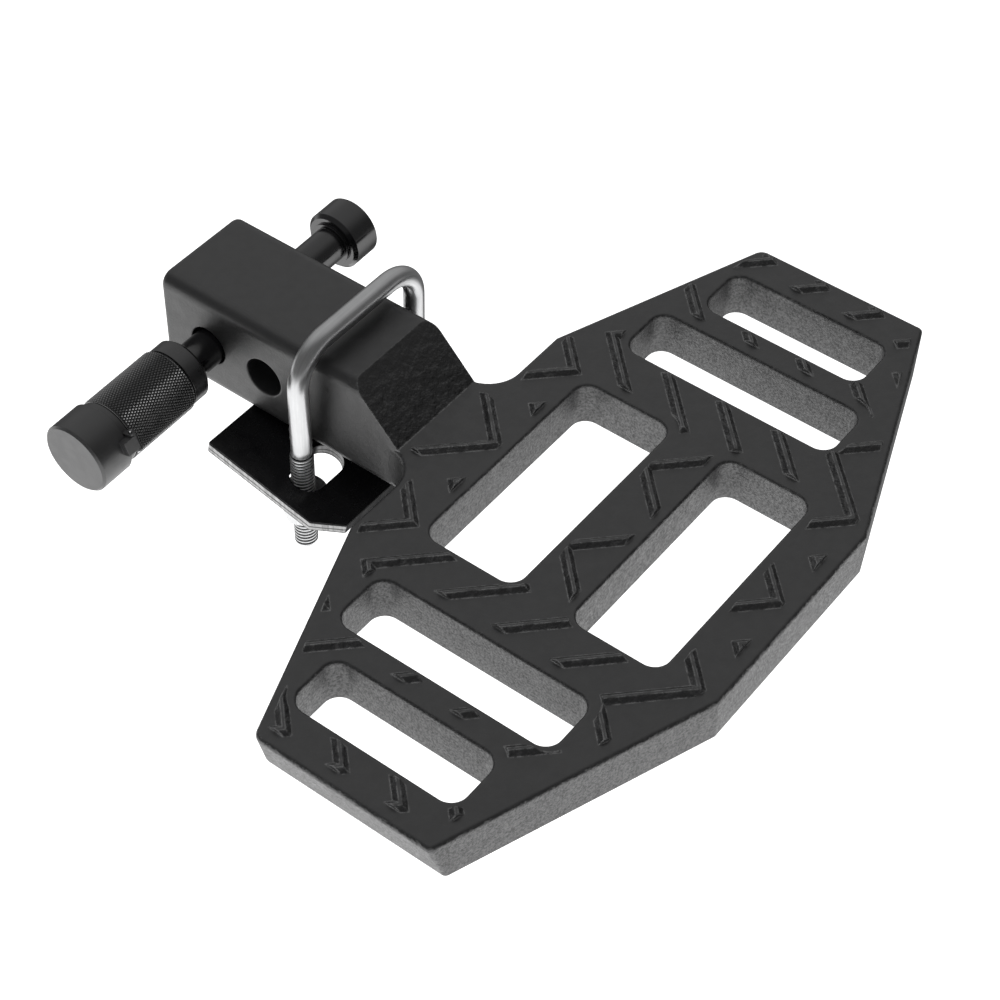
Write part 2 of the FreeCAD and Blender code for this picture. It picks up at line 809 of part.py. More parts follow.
def fasteners():
    """Flat washer, spring washer and nut under the plate, on each leg."""
    washer_low = washer_top - S.washer_thickness
    spring_low = washer_low - S.spring_washer_thickness
    nut_low = spring_low - S.nut_height
    for side, sign in (("left", -1), ("right", 1)):
        leg_x = S.clamp_side_shift + half_legs * sign
        flat = turned("FlatWasher" + side, ring_profile(
            washer_low, washer_top, S.washer_hole, S.washer_diameter), upright=True)
        move_to(flat, leg_x, -S.leg_distance)
        finish(flat, "flat_washer_" + side)
        coil = turned("SpringWasher" + side, ring_profile(
            spring_low, washer_low, S.spring_washer_hole, S.spring_washer_diameter), upright=True)
        split = box("SpringSplit" + side,
                    (-S.spring_washer_gap / 2, ZERO, spring_low - S.fit_gap),
                    (S.spring_washer_gap / 2, S.spring_washer_diameter, washer_low + S.fit_gap))
        coil = cut("SpringWasherCut" + side, coil, split)
        move_to(coil, leg_x, -S.leg_distance)
        finish(coil, "spring_washer_" + side)
        bore = S.thread_diameter + S.socket_clearance * 2
        corner = S.nut_across_flats / trig("cos", cos, Size(30.0, "30"))
        narrow = S.nut_across_flats / 2
        wide = corner / 2
        blank = turned("NutBlank" + side, [
            (nut_low, bore / 2), (nut_low, narrow), (nut_low + S.nut_chamfer, wide),
            (spring_low - S.nut_chamfer, wide), (spring_low, narrow), (spring_low, bore / 2)],
            upright=True)
        flats = document.addObject("Part::Prism", "NutFlats" + side)
        flats.Polygon = 6
        bind(flats, Circumradius=wide, Height=S.nut_height)
        move_to(flats, ZERO, ZERO, nut_low)
        nut = common("Nut" + side, blank, flats)
        move_to(nut, leg_x, -S.leg_distance)
        finish(nut, "hex_nut_" + side)


# Pieces on the pin's line: modelled along X, then leaned by the pin's sag

LEAN = FreeCAD.Rotation(vector(0, 1, 0), -float(S.pin_sag))


def on_pin_line(thing, roll=0.0):
    turn = LEAN.multiply(FreeCAD.Rotation(vector(1, 0, 0), float(roll)))
    thing.Placement = FreeCAD.Placement(vector(), turn)
    return thing


def cross_pin(name, diameter, length, x, z, roll=0.0):
    """A pin across the lock, centred over the pin's line at x and height z."""
    thing = document.addObject("Part::Cylinder", name)
    bind(thing, Radius=diameter / 2, Height=length)
    turn = LEAN.multiply(FreeCAD.Rotation(vector(1, 0, 0), float(roll)))
    across = turn.multiply(FreeCAD.Rotation(vector(0, 0, 1), vector(0, 1, 0)))
    start = turn.multVec(vector(x, -float(length) / 2, z))
    thing.Placement = FreeCAD.Placement(start, across)
    return thing


pin_radius = S.pin_diameter / 2
socket_radius = pin_radius + S.socket_clearance
barrel_radius = S.barrel_diameter / 2
collar_end = S.lock_distance + S.collar_length
sleeve_end = collar_end + S.sleeve_length
socket_end = S.lock_distance + S.socket_depth
pin_end = socket_end - S.fit_gap * 2
chamber_start = socket_end + S.socket_web
chamber_end = chamber_start + S.cam_chamber_length
ring_start = sleeve_end + S.fit_gap
ring_end = ring_start + S.ring_length
clip_start = ring_end + S.fit_gap / 3
clip_end = clip_start + S.circlip_thickness
barrel_end = clip_end + S.barrel_end_land
nose_end = barrel_end + S.nose_length
plug_radius = S.plug_diameter / 2
plug_bore = plug_radius + S.plug_clearance
dog_top = barrel_radius - S.fit_gap / 3 - S.dog_travel
groove_start = pin_end - S.pin_tip_length - S.pin_groove_width
groove_end = pin_end - S.pin_tip_length


def hitch_pin():
    """The pin with its head, forged and turned in one piece."""
    head_start = S.head_distance
    head_end = head_start + S.head_length
    head = S.head_diameter / 2
    collar = S.head_collar_diameter / 2
    neck = S.pin_groove_diameter / 2
    profile = [
        (-pin_end, ZERO),
        (-pin_end, pin_radius - S.pin_tip_chamfer),
        (-(pin_end - S.pin_tip_chamfer), pin_radius),
        (-groove_end, pin_radius),
        (-groove_end, neck),
        (-groove_start, neck),
        (-groove_start, pin_radius),
        (head_start - S.head_collar_length, pin_radius),
        (head_start - S.head_collar_length, collar),
        (head_start, collar),
        (head_start, head - S.head_chamfer),
        (head_start + S.head_chamfer, head),
        (head_end - S.head_rear_chamfer, head),
        (head_end, head - S.head_rear_chamfer),
        (head_end, ZERO),
    ]
    return finish(on_pin_line(turned("HitchPin", profile)), "hitch_pin")


seal_start = S.lock_distance + S.seal_inset
seal_width = S.seal_section + S.fit_gap / 2
seal_radius = socket_radius + S.seal_section
latch_ring_middle = chamber_start - S.fit_gap * 4
latch_ring_half = S.latch_wire / 2 + S.fit_gap / 3


def lock_body():
    """The barrel's core: pin socket, latch channels, cam chamber and plug bore."""
    collar = S.collar_diameter / 2
    seat = S.circlip_seat_diameter / 2
    nose = S.nose_diameter / 2
    chamber = S.cam_chamber_diameter / 2
    garter = dog_top + S.fit_gap / 6
    profile = [
        (-S.lock_distance, socket_radius),
        (-S.lock_distance, collar - S.collar_round),
        (-(S.lock_distance + S.collar_round), collar),
        (-collar_end, collar),
        (-collar_end, barrel_radius),
        (-(latch_ring_middle - latch_ring_half), barrel_radius),
        (-(latch_ring_middle - latch_ring_half), garter),
        (-(latch_ring_middle + latch_ring_half), garter),
        (-(latch_ring_middle + latch_ring_half), barrel_radius),
        (-clip_start, barrel_radius),
        (-clip_start, seat),
        (-(clip_end + S.fit_gap / 6), seat),
        (-(clip_end + S.fit_gap / 6), barrel_radius),
        (-barrel_end, barrel_radius),
        (-barrel_end, nose),
        (-(nose_end - S.nose_chamfer), nose),
        (-nose_end, nose - S.nose_chamfer),
        (-nose_end, plug_bore),
        (-chamber_end, plug_bore),
        (-chamber_end, chamber),
        (-chamber_start, chamber),
        (-chamber_start, ZERO),
        (-socket_end, ZERO),
        (-socket_end, socket_radius),
        (-(seal_start + seal_width), socket_radius),
        (-(seal_start + seal_width), seal_radius),
        (-seal_start, seal_radius),
        (-seal_start, socket_radius),
    ]
    core = turned("LockCore", profile)
    half = S.dog_width / 2 + S.fit_gap / 2
    reach = barrel_radius + S.fit_gap
    front = -(groove_start + S.dog_slack / 2)
    tools = []
    for side, low, high in (("Upper", S.pin_groove_diameter / 2, reach),
                            ("Lower", -reach, -S.pin_groove_diameter / 2)):
        tools.append(box(side + "Channel", (-chamber_end, -half, low), (front, half, high)))
    tools.append(box("FootChannel", (-chamber_end, -half, -reach), (-chamber_start, half, reach)))
    tools.append(rod("PlugPinHole", S.plug_pin_diameter + S.fit_gap / 6, barrel_radius * 2,
                     -(chamber_end + S.plug_pin_inset), -barrel_radius,
                     plug_pin_level, (0, 1, 0)))
    return finish(on_pin_line(cut("LockBodyShape", core, *tools)), "lock_body")


plug_pin_level = S.plug_groove_diameter / 2 + S.plug_pin_diameter / 2 + S.fit_gap / 3


def lock_shell():
    """Knurled sleeve, tether ring, circlip and seal around the lock's core."""
    outer = S.sleeve_diameter / 2
    inner = barrel_radius
    step = S.sleeve_chamfer
    sleeve = turned("LockSleeve", [
        (-collar_end, inner), (-collar_end, outer - step), (-(collar_end + step), outer),
        (-(sleeve_end - step / 4), outer), (-sleeve_end, outer - step / 4), (-sleeve_end, inner)])
    finish(on_pin_line(sleeve), "lock_sleeve")
    clip = turned("SleeveCirclip", [
        (-clip_start, S.circlip_seat_diameter / 2), (-clip_start, S.circlip_diameter / 2),
        (-clip_end, S.circlip_diameter / 2), (-clip_end, S.circlip_seat_diameter / 2)])
    half = S.circlip_gap / 2
    mouth = box("CirclipMouth", (-(clip_end + S.fit_gap), -half, -S.circlip_diameter),
                (-(clip_start - S.fit_gap), half, ZERO))
    finish(on_pin_line(cut("CirclipShape", clip, mouth)), "sleeve_circlip")
    seal = document.addObject("Part::Torus", "PinSeal")
    bind(seal, Radius1=seal_radius - S.seal_section / 2 - S.fit_gap / 6,
         Radius2=S.seal_section / 2 - S.fit_gap / 6)
    upright = FreeCAD.Rotation(vector(0, 1, 0), 90.0 - float(S.pin_sag))
    middle = LEAN.multVec(vector(-(seal_start + seal_width / 2)))
    seal.Placement = FreeCAD.Placement(middle, upright)
    finish(seal, "pin_seal")


def latch():
    """Two dogs that close into the pin's groove, and the wire ring that closes them."""
    half = S.dog_width / 2
    slack = S.dog_slack
    jaw_low = S.pin_groove_diameter / 2 + slack
    back_low = pin_radius + slack
    jaw_front = -(groove_start + slack)
    jaw_back = -(groove_end - slack)
    foot_front = -(chamber_start + slack)
    foot_back = -(chamber_end - slack)
    for side, roll in (("upper", 0.0), ("lower", 180.0)):
        jaw = box("Jaw" + side, (jaw_back, -half, jaw_low), (jaw_front, half, dog_top))
        back = box("Back" + side, (foot_back, -half, back_low), (jaw_front, half, dog_top))
        foot = box("Foot" + side, (foot_back, -half, S.dog_foot_height),
                   (foot_front, half, dog_top))
        blank = join("DogBlank" + side, jaw, back, foot)
        crown = rod("DogCrown" + side, dog_top * 2, S.socket_depth * 2,
                    -(S.lock_distance + S.socket_depth * 2), ZERO, ZERO, (1, 0, 0))
        finish(on_pin_line(common("Dog" + side, blank, crown), roll), "latch_dog_" + side)
    wire = document.addObject("Part::Torus", "LatchWire")
    bind(wire, Radius1=dog_top + S.fit_gap / 3 + S.latch_wire / 2, Radius2=S.latch_wire / 2)
    wire.Angle3 = 330.0
    roll = FreeCAD.Rotation(vector(0, 1, 0), 90.0 - float(S.pin_sag))
    middle = LEAN.multVec(vector(-latch_ring_middle))
    wire.Placement = FreeCAD.Placement(middle, roll)
    finish(wire, "latch_spring")


def wafer_place(index):
    return chamber_end + S.plug_pin_inset + S.wafer_inset + S.wafer_pitch * index


def key_plug():
    """The plug with its cam and keyway, its wafers and the pin that keeps it in."""
    start = chamber_end + S.fit_gap / 2
    groove_low = chamber_end + S.plug_pin_inset - S.plug_groove_width / 2
    groove_high = groove_low + S.plug_groove_width
    neck = S.plug_groove_diameter / 2
    cylinder = turned("PlugCylinder", [
        (-nose_end, ZERO), (-nose_end, plug_radius), (-groove_high, plug_radius),
        (-groove_high, neck), (-groove_low, neck), (-groove_low, plug_radius),
        (-start, plug_radius), (-start, ZERO)])
    cam_round = S.cam_thickness / 2
    cam_reach = S.cam_length / 2 - cam_round
    cam_depth = start - chamber_start - S.dog_slack
    cam_x = -start
    pieces = [cylinder, box("CamMiddle", (cam_x, -cam_reach, -cam_round),
                            (cam_x + cam_depth, cam_reach, cam_round))]
    for side, sign in (("Left", -1), ("Right", 1)):
        pieces.append(rod("Cam" + side, S.cam_thickness, cam_depth, cam_x, cam_reach * sign, ZERO,
                          (1, 0, 0)))
    tools = [box("Keyway", (-(nose_end + S.fit_gap), -S.keyway_width / 2, -S.keyway_height / 2),
                 (-(groove_high + S.fit_gap), S.keyway_width / 2, S.keyway_height / 2))]
    count = int(float(S.wafer_count))
    for index in range(count):
        place = wafer_place(index)
        thick = S.wafer_thickness / 2 + S.fit_gap / 6
        half = S.wafer_width / 2 + S.fit_gap / 6
        tools.append(box("WaferSlot%d" % index, (-(place + thick), -half, -plug_radius),
                         (-(place - thick), half, plug_radius)))
    plug = cut("LockPlugShape", join("PlugAndCam", *pieces), *tools)
    finish(on_pin_line(plug), "lock_plug")
    for index in range(count):
        place = wafer_place(index)
        thick = S.wafer_thickness / 2
        half = S.wafer_width / 2
        blank = box("WaferBlank%d" % index, (-(place + thick), -half, -plug_radius),
                    (-(place - thick), half, plug_radius))
        crown = rod("WaferCrown%d" % index, S.plug_diameter - S.fit_gap / 3, S.wafer_thickness,
                    -(place + thick), ZERO, ZERO, (1, 0, 0))
        window = box("WaferWindow%d" % index,
                     (-(place + S.wafer_thickness), -S.keyway_width / 2, -S.keyway_height / 3),
                     (-(place - S.wafer_thickness), S.keyway_width / 2, S.keyway_height / 3))
        wafer = cut("Wafer%d" % index, common("WaferPlate%d" % index, blank, crown), window)
        finish(on_pin_line(wafer), "wafer_%d" % (index + 1))
    keeper = cross_pin("PlugPin", S.plug_pin_diameter, S.plug_pin_length,
                       -(chamber_end + S.plug_pin_inset), plug_pin_level)
    finish(keeper, "plug_retaining_pin")


def dust_cap():
    """Tether ring with two ears, the hinge pin and the cap that swings on it."""
    pivot_x = -(ring_start + S.hinge_inset)
    barrel = S.hinge_barrel_diameter
    ring_radius = S.ring_diameter / 2
    ring = turned("TetherBand", [
        (-ring_start, barrel_radius + S.socket_clearance), (-ring_start, ring_radius),
        (-ring_end, ring_radius), (-ring_end, barrel_radius + S.socket_clearance)])
    pieces = [ring]
    inner = S.hinge_arm_width / 2 + S.fit_gap / 2
    for side, sign in (("Left", -1), ("Right", 1)):
        low = inner * sign if sign > 0 else -(inner + S.hinge_ear_width)
        high = low + S.hinge_ear_width
        pieces.append(rod("Ear" + side, barrel, S.hinge_ear_width, pivot_x, low, S.hinge_radius,
                          (0, 1, 0)))
        pieces.append(box("EarFoot" + side,
                          (pivot_x - barrel / 2, low, ring_radius - S.fit_gap * 2),
                          (-ring_start, high, S.hinge_radius)))
    hole = rod("EarHoles", S.hinge_pin_diameter, S.hinge_pin_length * 2, pivot_x,
               -S.hinge_pin_length, S.hinge_radius, (0, 1, 0))
    finish(on_pin_line(cut("TetherRingShape", join("TetherRing", *pieces), hole),
                       S.hinge_roll), "tether_ring")

    pin = cross_pin("HingePin", S.hinge_pin_diameter, S.hinge_pin_length, pivot_x,
                    S.hinge_radius, S.hinge_roll)
    finish(pin, "cap_hinge_pin")

    outer = S.cap_diameter / 2
    rim = ring_end + S.fit_gap
    end = rim + S.cap_length
    cup = turned("CapCup", [
        (-rim, outer - S.cap_wall), (-rim, outer), (-(end - S.cap_round), outer),
        (-end, outer - S.cap_round), (-end, ZERO), (-(end - S.cap_wall), ZERO),
        (-(end - S.cap_wall), outer - S.cap_wall)])
    half = S.hinge_arm_width / 2
    root = rim + S.hinge_arm_root
    arm_low = ring_radius + S.fit_gap
    knuckle = rod("CapKnuckle", barrel, S.hinge_arm_width, pivot_x, -half, S.hinge_radius,
                  (0, 1, 0))
    arm = box("CapArm", (-root, -half, arm_low), (pivot_x, half, S.hinge_radius + barrel / 2))
    bore = rod("CapBore", S.hinge_pin_diameter + S.socket_clearance * 2, S.hinge_pin_length,
               pivot_x, -S.hinge_pin_length / 2, S.hinge_radius, (0, 1, 0))
    cap = cut("DustCapShape", join("CapBlank", cup, knuckle, arm), bore)
    finish(on_pin_line(cap, S.hinge_roll), "dust_cap")


def check_and_export():
    document.recompute()
    for thing in document.Objects:
        broken = [word for word in thing.State if word in ("Invalid", "Error")]
        if broken:
            raise RuntimeError("%s is %s" % (thing.Name, ", ".join(broken)))
    os.makedirs("parts", exist_ok=True)
    for part in PARTS:
        shape = part.Shape
        if shape.isNull() or not shape.isValid() or not shape.Solids:
            raise RuntimeError("%s has no valid solid" % part.Label)
        shape.exportStep("parts/%s.step" % part.Label)
        print("%-20s solids %d  volume %.1f" % (part.Label, len(shape.Solids), shape.Volume))


step_casting()
u_bolt()
anti_rattle_plate()
fasteners()
hitch_pin()
lock_body()
lock_shell()
latch()
key_plug()
dust_cap()
check_and_export()
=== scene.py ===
"""Looks of a hitch receiver step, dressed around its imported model.

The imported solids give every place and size. This script adds the rolled threads
of the U-bolt, the knurled grip of the pin lock, the finishes of all pieces, and
a plain pale studio seen from the photograph's angle. Lengths are in metres.
"""

from __future__ import annotations

import logging
import math
from dataclasses import dataclass, field
from enum import Enum

import bmesh
import bpy
from mathutils import Matrix, Vector

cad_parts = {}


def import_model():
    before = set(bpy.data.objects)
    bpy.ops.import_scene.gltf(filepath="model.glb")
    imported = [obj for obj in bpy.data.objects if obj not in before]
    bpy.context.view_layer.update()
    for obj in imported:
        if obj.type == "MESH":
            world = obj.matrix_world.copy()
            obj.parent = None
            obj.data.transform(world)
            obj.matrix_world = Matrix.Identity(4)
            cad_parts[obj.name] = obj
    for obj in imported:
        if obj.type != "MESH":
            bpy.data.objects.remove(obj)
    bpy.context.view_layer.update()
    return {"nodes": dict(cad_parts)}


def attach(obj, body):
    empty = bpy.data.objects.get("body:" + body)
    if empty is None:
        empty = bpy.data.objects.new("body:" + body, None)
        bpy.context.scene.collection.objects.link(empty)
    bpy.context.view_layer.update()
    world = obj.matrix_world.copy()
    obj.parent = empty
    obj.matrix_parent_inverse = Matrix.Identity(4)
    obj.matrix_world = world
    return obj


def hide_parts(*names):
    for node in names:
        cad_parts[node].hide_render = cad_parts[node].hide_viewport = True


MM = 0.001
LOG = logging.getLogger("hitch_step")
WHITE = (1.0, 1.0, 1.0, 1.0)
UP = (0.0, 0.0, 1.0)
NONE_TO_ALL = (0.0, 1.0)
ALL_TO_NONE = (1.0, 0.0)
WELD_DISTANCE = 1e-6
THIN_EDGE = 1e-7
BEVEL_SAMPLES = 6

# Most values of a noise lie between these.
NOISE_BODY = (0.3, 0.7)

# Names of what the meshes store for the finishes.
GROOVE = "Groove"
LENGTHWAYS = "Lengthways"

# Sockets of the mix node while it mixes colours.
MIX_FIRST = 6
MIX_SECOND = 7
MIX_RESULT = 2

Socket = bpy.types.NodeSocket
Pair = tuple[float, float]
Triple = tuple[float, float, float]
Faces = list[tuple[int, ...]]


class Slot(Enum):
    """Material slots of the record, by name. Nothing in this script reads them."""

    ZINC = "zinc_steel"
    SLEEVE = "sleeve_aluminium"


class Body(Enum):
    """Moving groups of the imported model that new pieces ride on."""

    U_BOLT = "u_bolt"
    LOCK = "lock_barrel"


class Graph:
    """The node tree of one material, with short ways to add and join nodes."""

    def __init__(self, name: str) -> None:
        """Starts a material with an empty tree, a shader and an output.

        Args:
            name: The material's name.
        """
        self.material = bpy.data.materials.new(name)
        self.material.use_nodes = True
        self.tree = self.material.node_tree
        self.tree.nodes.clear()
        self.shader = self.tree.nodes.new("ShaderNodeBsdfPrincipled")
        self.output = self.tree.nodes.new("ShaderNodeOutputMaterial")
        self.join(self.shader.outputs["BSDF"], self.output.inputs["Surface"])
        self.place = self.node("ShaderNodeTexCoord").outputs["Object"]

    def node(self, kind: str) -> bpy.types.Node:
        """Adds a node and returns it."""
        return self.tree.nodes.new(kind)

    def join(self, source: Socket, target: Socket) -> None:
        """Links one socket to another."""
        self.tree.links.new(source, target)

    def feed(self, target: Socket, value: Socket | float | tuple[float, ...]) -> None:
        """Links a socket to an input, or sets the input where the value is fixed."""
        if isinstance(value, Socket):
            self.join(value, target)
        else:
            target.default_value = value

    def shade(self, name: str, value: Socket | float | tuple[float, ...]) -> None:
        """Feeds one input of the shader, by its name."""
        self.feed(self.shader.inputs[name], value)

    def stretched(self, scale: Triple) -> Socket:
        """Scales the object's coordinates differently along each axis.

        Args:
            scale: Factors for x, y and z.

        Returns:
            The scaled coordinates.
        """
        mapping = self.node("ShaderNodeMapping")
        mapping.inputs["Scale"].default_value = scale
        self.join(self.place, mapping.inputs["Vector"])
        return mapping.outputs["Vector"]

    def noise(self, scale: float, detail: float = 2.0, rough: float = 0.55,
              place: Socket | None = None) -> Socket:
        """Adds a noise texture.

        Args:
            scale: Waves per metre.
            detail: Layers of finer noise.
            rough: Share that each finer layer keeps.
            place: Coordinates to read, or none for the object's own.

        Returns:
            The noise, around one half.
        """
        texture = self.node("ShaderNodeTexNoise")
        texture.inputs["Scale"].default_value = scale
        texture.inputs["Detail"].default_value = detail
        texture.inputs["Roughness"].default_value = rough
        self.join(place or self.place, texture.inputs["Vector"])
        return texture.outputs["Fac"]

    def span(self, value: Socket, source: Pair, target: Pair) -> Socket:
        """Maps a range of values smoothly to another, and holds it there.

        Args:
            value: The value to map.
            source: Its low and high ends.
            target: What they become.

        Returns:
            The mapped value.
        """
        ranged = self.node("ShaderNodeMapRange")
        ranged.interpolation_type = "SMOOTHSTEP"
        ranged.inputs["From Min"].default_value = source[0]
        ranged.inputs["From Max"].default_value = source[1]
        ranged.inputs["To Min"].default_value = target[0]
        ranged.inputs["To Max"].default_value = target[1]
        self.join(value, ranged.inputs["Value"])
        return ranged.outputs["Result"]

    def math(self, operation: str, first: Socket, second: Socket | float) -> Socket:
        """Adds a math node over two values.

        Args:
            operation: Blender's name of the operation.
            first: The first value.
            second: A socket or a number.

        Returns:
            The result.
        """
        maths = self.node("ShaderNodeMath")
        maths.operation = operation
        self.join(first, maths.inputs[0])
        self.feed(maths.inputs[1], second)
        return maths.outputs[0]

    def dot(self, first: Socket, second: Socket | Triple) -> Socket:
        """Adds the dot product of a vector with another one.

        Args:
            first: The first vector.
            second: A socket or a fixed direction.

        Returns:
            The product.
        """
        product = self.node("ShaderNodeVectorMath")
        product.operation = "DOT_PRODUCT"
        self.join(first, product.inputs[0])
        self.feed(product.inputs[1], second)
        return product.outputs["Value"]

    def attribute(self, name: str) -> Socket:
        """Reads a number that the mesh stores on its points.

        Args:
            name: The attribute's name.

        Returns:
            The number.
        """
        reader = self.node("ShaderNodeAttribute")
        reader.attribute_name = name
        return reader.outputs["Fac"]

    def facing(self, upright: Triple) -> Socket:
        """Measures how far a face looks along a direction or against it.

        Args:
            upright: The direction, of length one.

        Returns:
            One where it looks along the direction or against it, zero across.
        """
        geometry = self.node("ShaderNodeNewGeometry")
        return self.math("ABSOLUTE", self.dot(geometry.outputs["Normal"], upright), 0.0)

    def steepness(self, upright: Triple, reach: Pair = (0.25, 0.85)) -> Socket:
        """Tells faces across a direction from faces along it.

        Args:
            upright: The direction, of length one.
            reach: Values of facing between which one turns into the other.

        Returns:
            Zero where a face looks along the direction, one where it lies across.
        """
        return self.span(self.facing(upright), reach, ALL_TO_NONE)

    def off(self, value: Socket, middle: float) -> Socket:
        """How far a value is from a middle, above it or below."""
        return self.math("ABSOLUTE", self.math("SUBTRACT", value, middle), 0.0)

    def line_at(self, value: Socket, middle: float, half: float) -> Socket:
        """One where a value is at a middle, falling to zero a half width away."""
        core = 0.35
        return self.span(self.off(value, middle), (half * core, half), ALL_TO_NONE)

    def edges(self, radius: float, reach: Pair) -> Socket:
        """Finds sharp edges by how far their rounded look turns from the face.

        Args:
            radius: Distance from an edge that still counts.
            reach: Amounts of turning between which the edge begins to count.

        Returns:
            One on an edge, zero on a flat face.
        """
        geometry = self.node("ShaderNodeNewGeometry")
        likeness = self.dot(self.soft_edges(radius), geometry.outputs["True Normal"])
        return self.span(likeness, (1.0 - reach[1], 1.0 - reach[0]), ALL_TO_NONE)

    def slant(self) -> Socket:
        """One on faces that lean half over, falling to a little on level and upright ones."""
        half_over, reach, least = 0.64, (0.12, 0.33), 0.12
        return self.span(self.off(self.facing(UP), half_over), reach, (1.0, least))

    def tint(self, factor: Socket, base: Socket | Triple, high: Triple) -> Socket:
        """Lays a colour over another one.

        Args:
            factor: How much of the upper colour shows.
            base: The colour below, fixed or from a socket.
            high: The colour laid over it.

        Returns:
            The mixed colour.
        """
        mix = self.node("ShaderNodeMix")
        mix.data_type = "RGBA"
        self.feed(mix.inputs[MIX_FIRST], base if isinstance(base, Socket) else (*base, 1.0))
        mix.inputs[MIX_SECOND].default_value = (*high, 1.0)
        self.join(factor, mix.inputs[0])
        return mix.outputs[MIX_RESULT]

    def bump(self, height: Socket, depth: float, normal: Socket | None = None,
             strength: Socket | float = 1.0) -> Socket:
        """Adds a bump.

        Args:
            height: The height, from zero to one.
            depth: What a height of one means, in metres.
            normal: A normal to start from, or none for the surface's own.
            strength: How much of the bump shows.

        Returns:
            The bumped normal.
        """
        relief = self.node("ShaderNodeBump")
        relief.inputs["Distance"].default_value = depth
        self.join(height, relief.inputs["Height"])
        if normal is not None:
            self.join(normal, relief.inputs["Normal"])
        self.feed(relief.inputs["Strength"], strength)
        return relief.outputs["Normal"]

    def toward(self, way: Triple) -> Socket:
        """Measures how far the surface lies in a direction from the origin.

        Args:
            way: The direction, of length one.

        Returns:
            One straight along it, zero across it, minus one behind.
        """
        unit = self.node("ShaderNodeVectorMath")
        unit.operation = "NORMALIZE"
        self.join(self.place, unit.inputs[0])
        return self.dot(unit.outputs["Vector"], way)

    def glow(self, strength: Socket) -> None:
        """Adds white light to what the shader gives.

        Args:
            strength: Strength of the light.
        """
        light = self.node("ShaderNodeEmission")
        light.inputs["Color"].default_value = WHITE
        self.join(strength, light.inputs["Strength"])
        both = self.node("ShaderNodeAddShader")
        self.join(self.shader.outputs["BSDF"], both.inputs[0])
        self.join(light.outputs[0], both.inputs[1])
        self.join(both.outputs[0], self.output.inputs["Surface"])

    def soft_edges(self, radius: float) -> Socket:
        """Rounds the look of sharp edges.

        Args:
            radius: Radius of the rounding.

        Returns:
            The rounded normal.
        """
        bevel = self.node("ShaderNodeBevel")
        bevel.samples = BEVEL_SAMPLES
        bevel.inputs["Radius"].default_value = radius
        return bevel.outputs["Normal"]


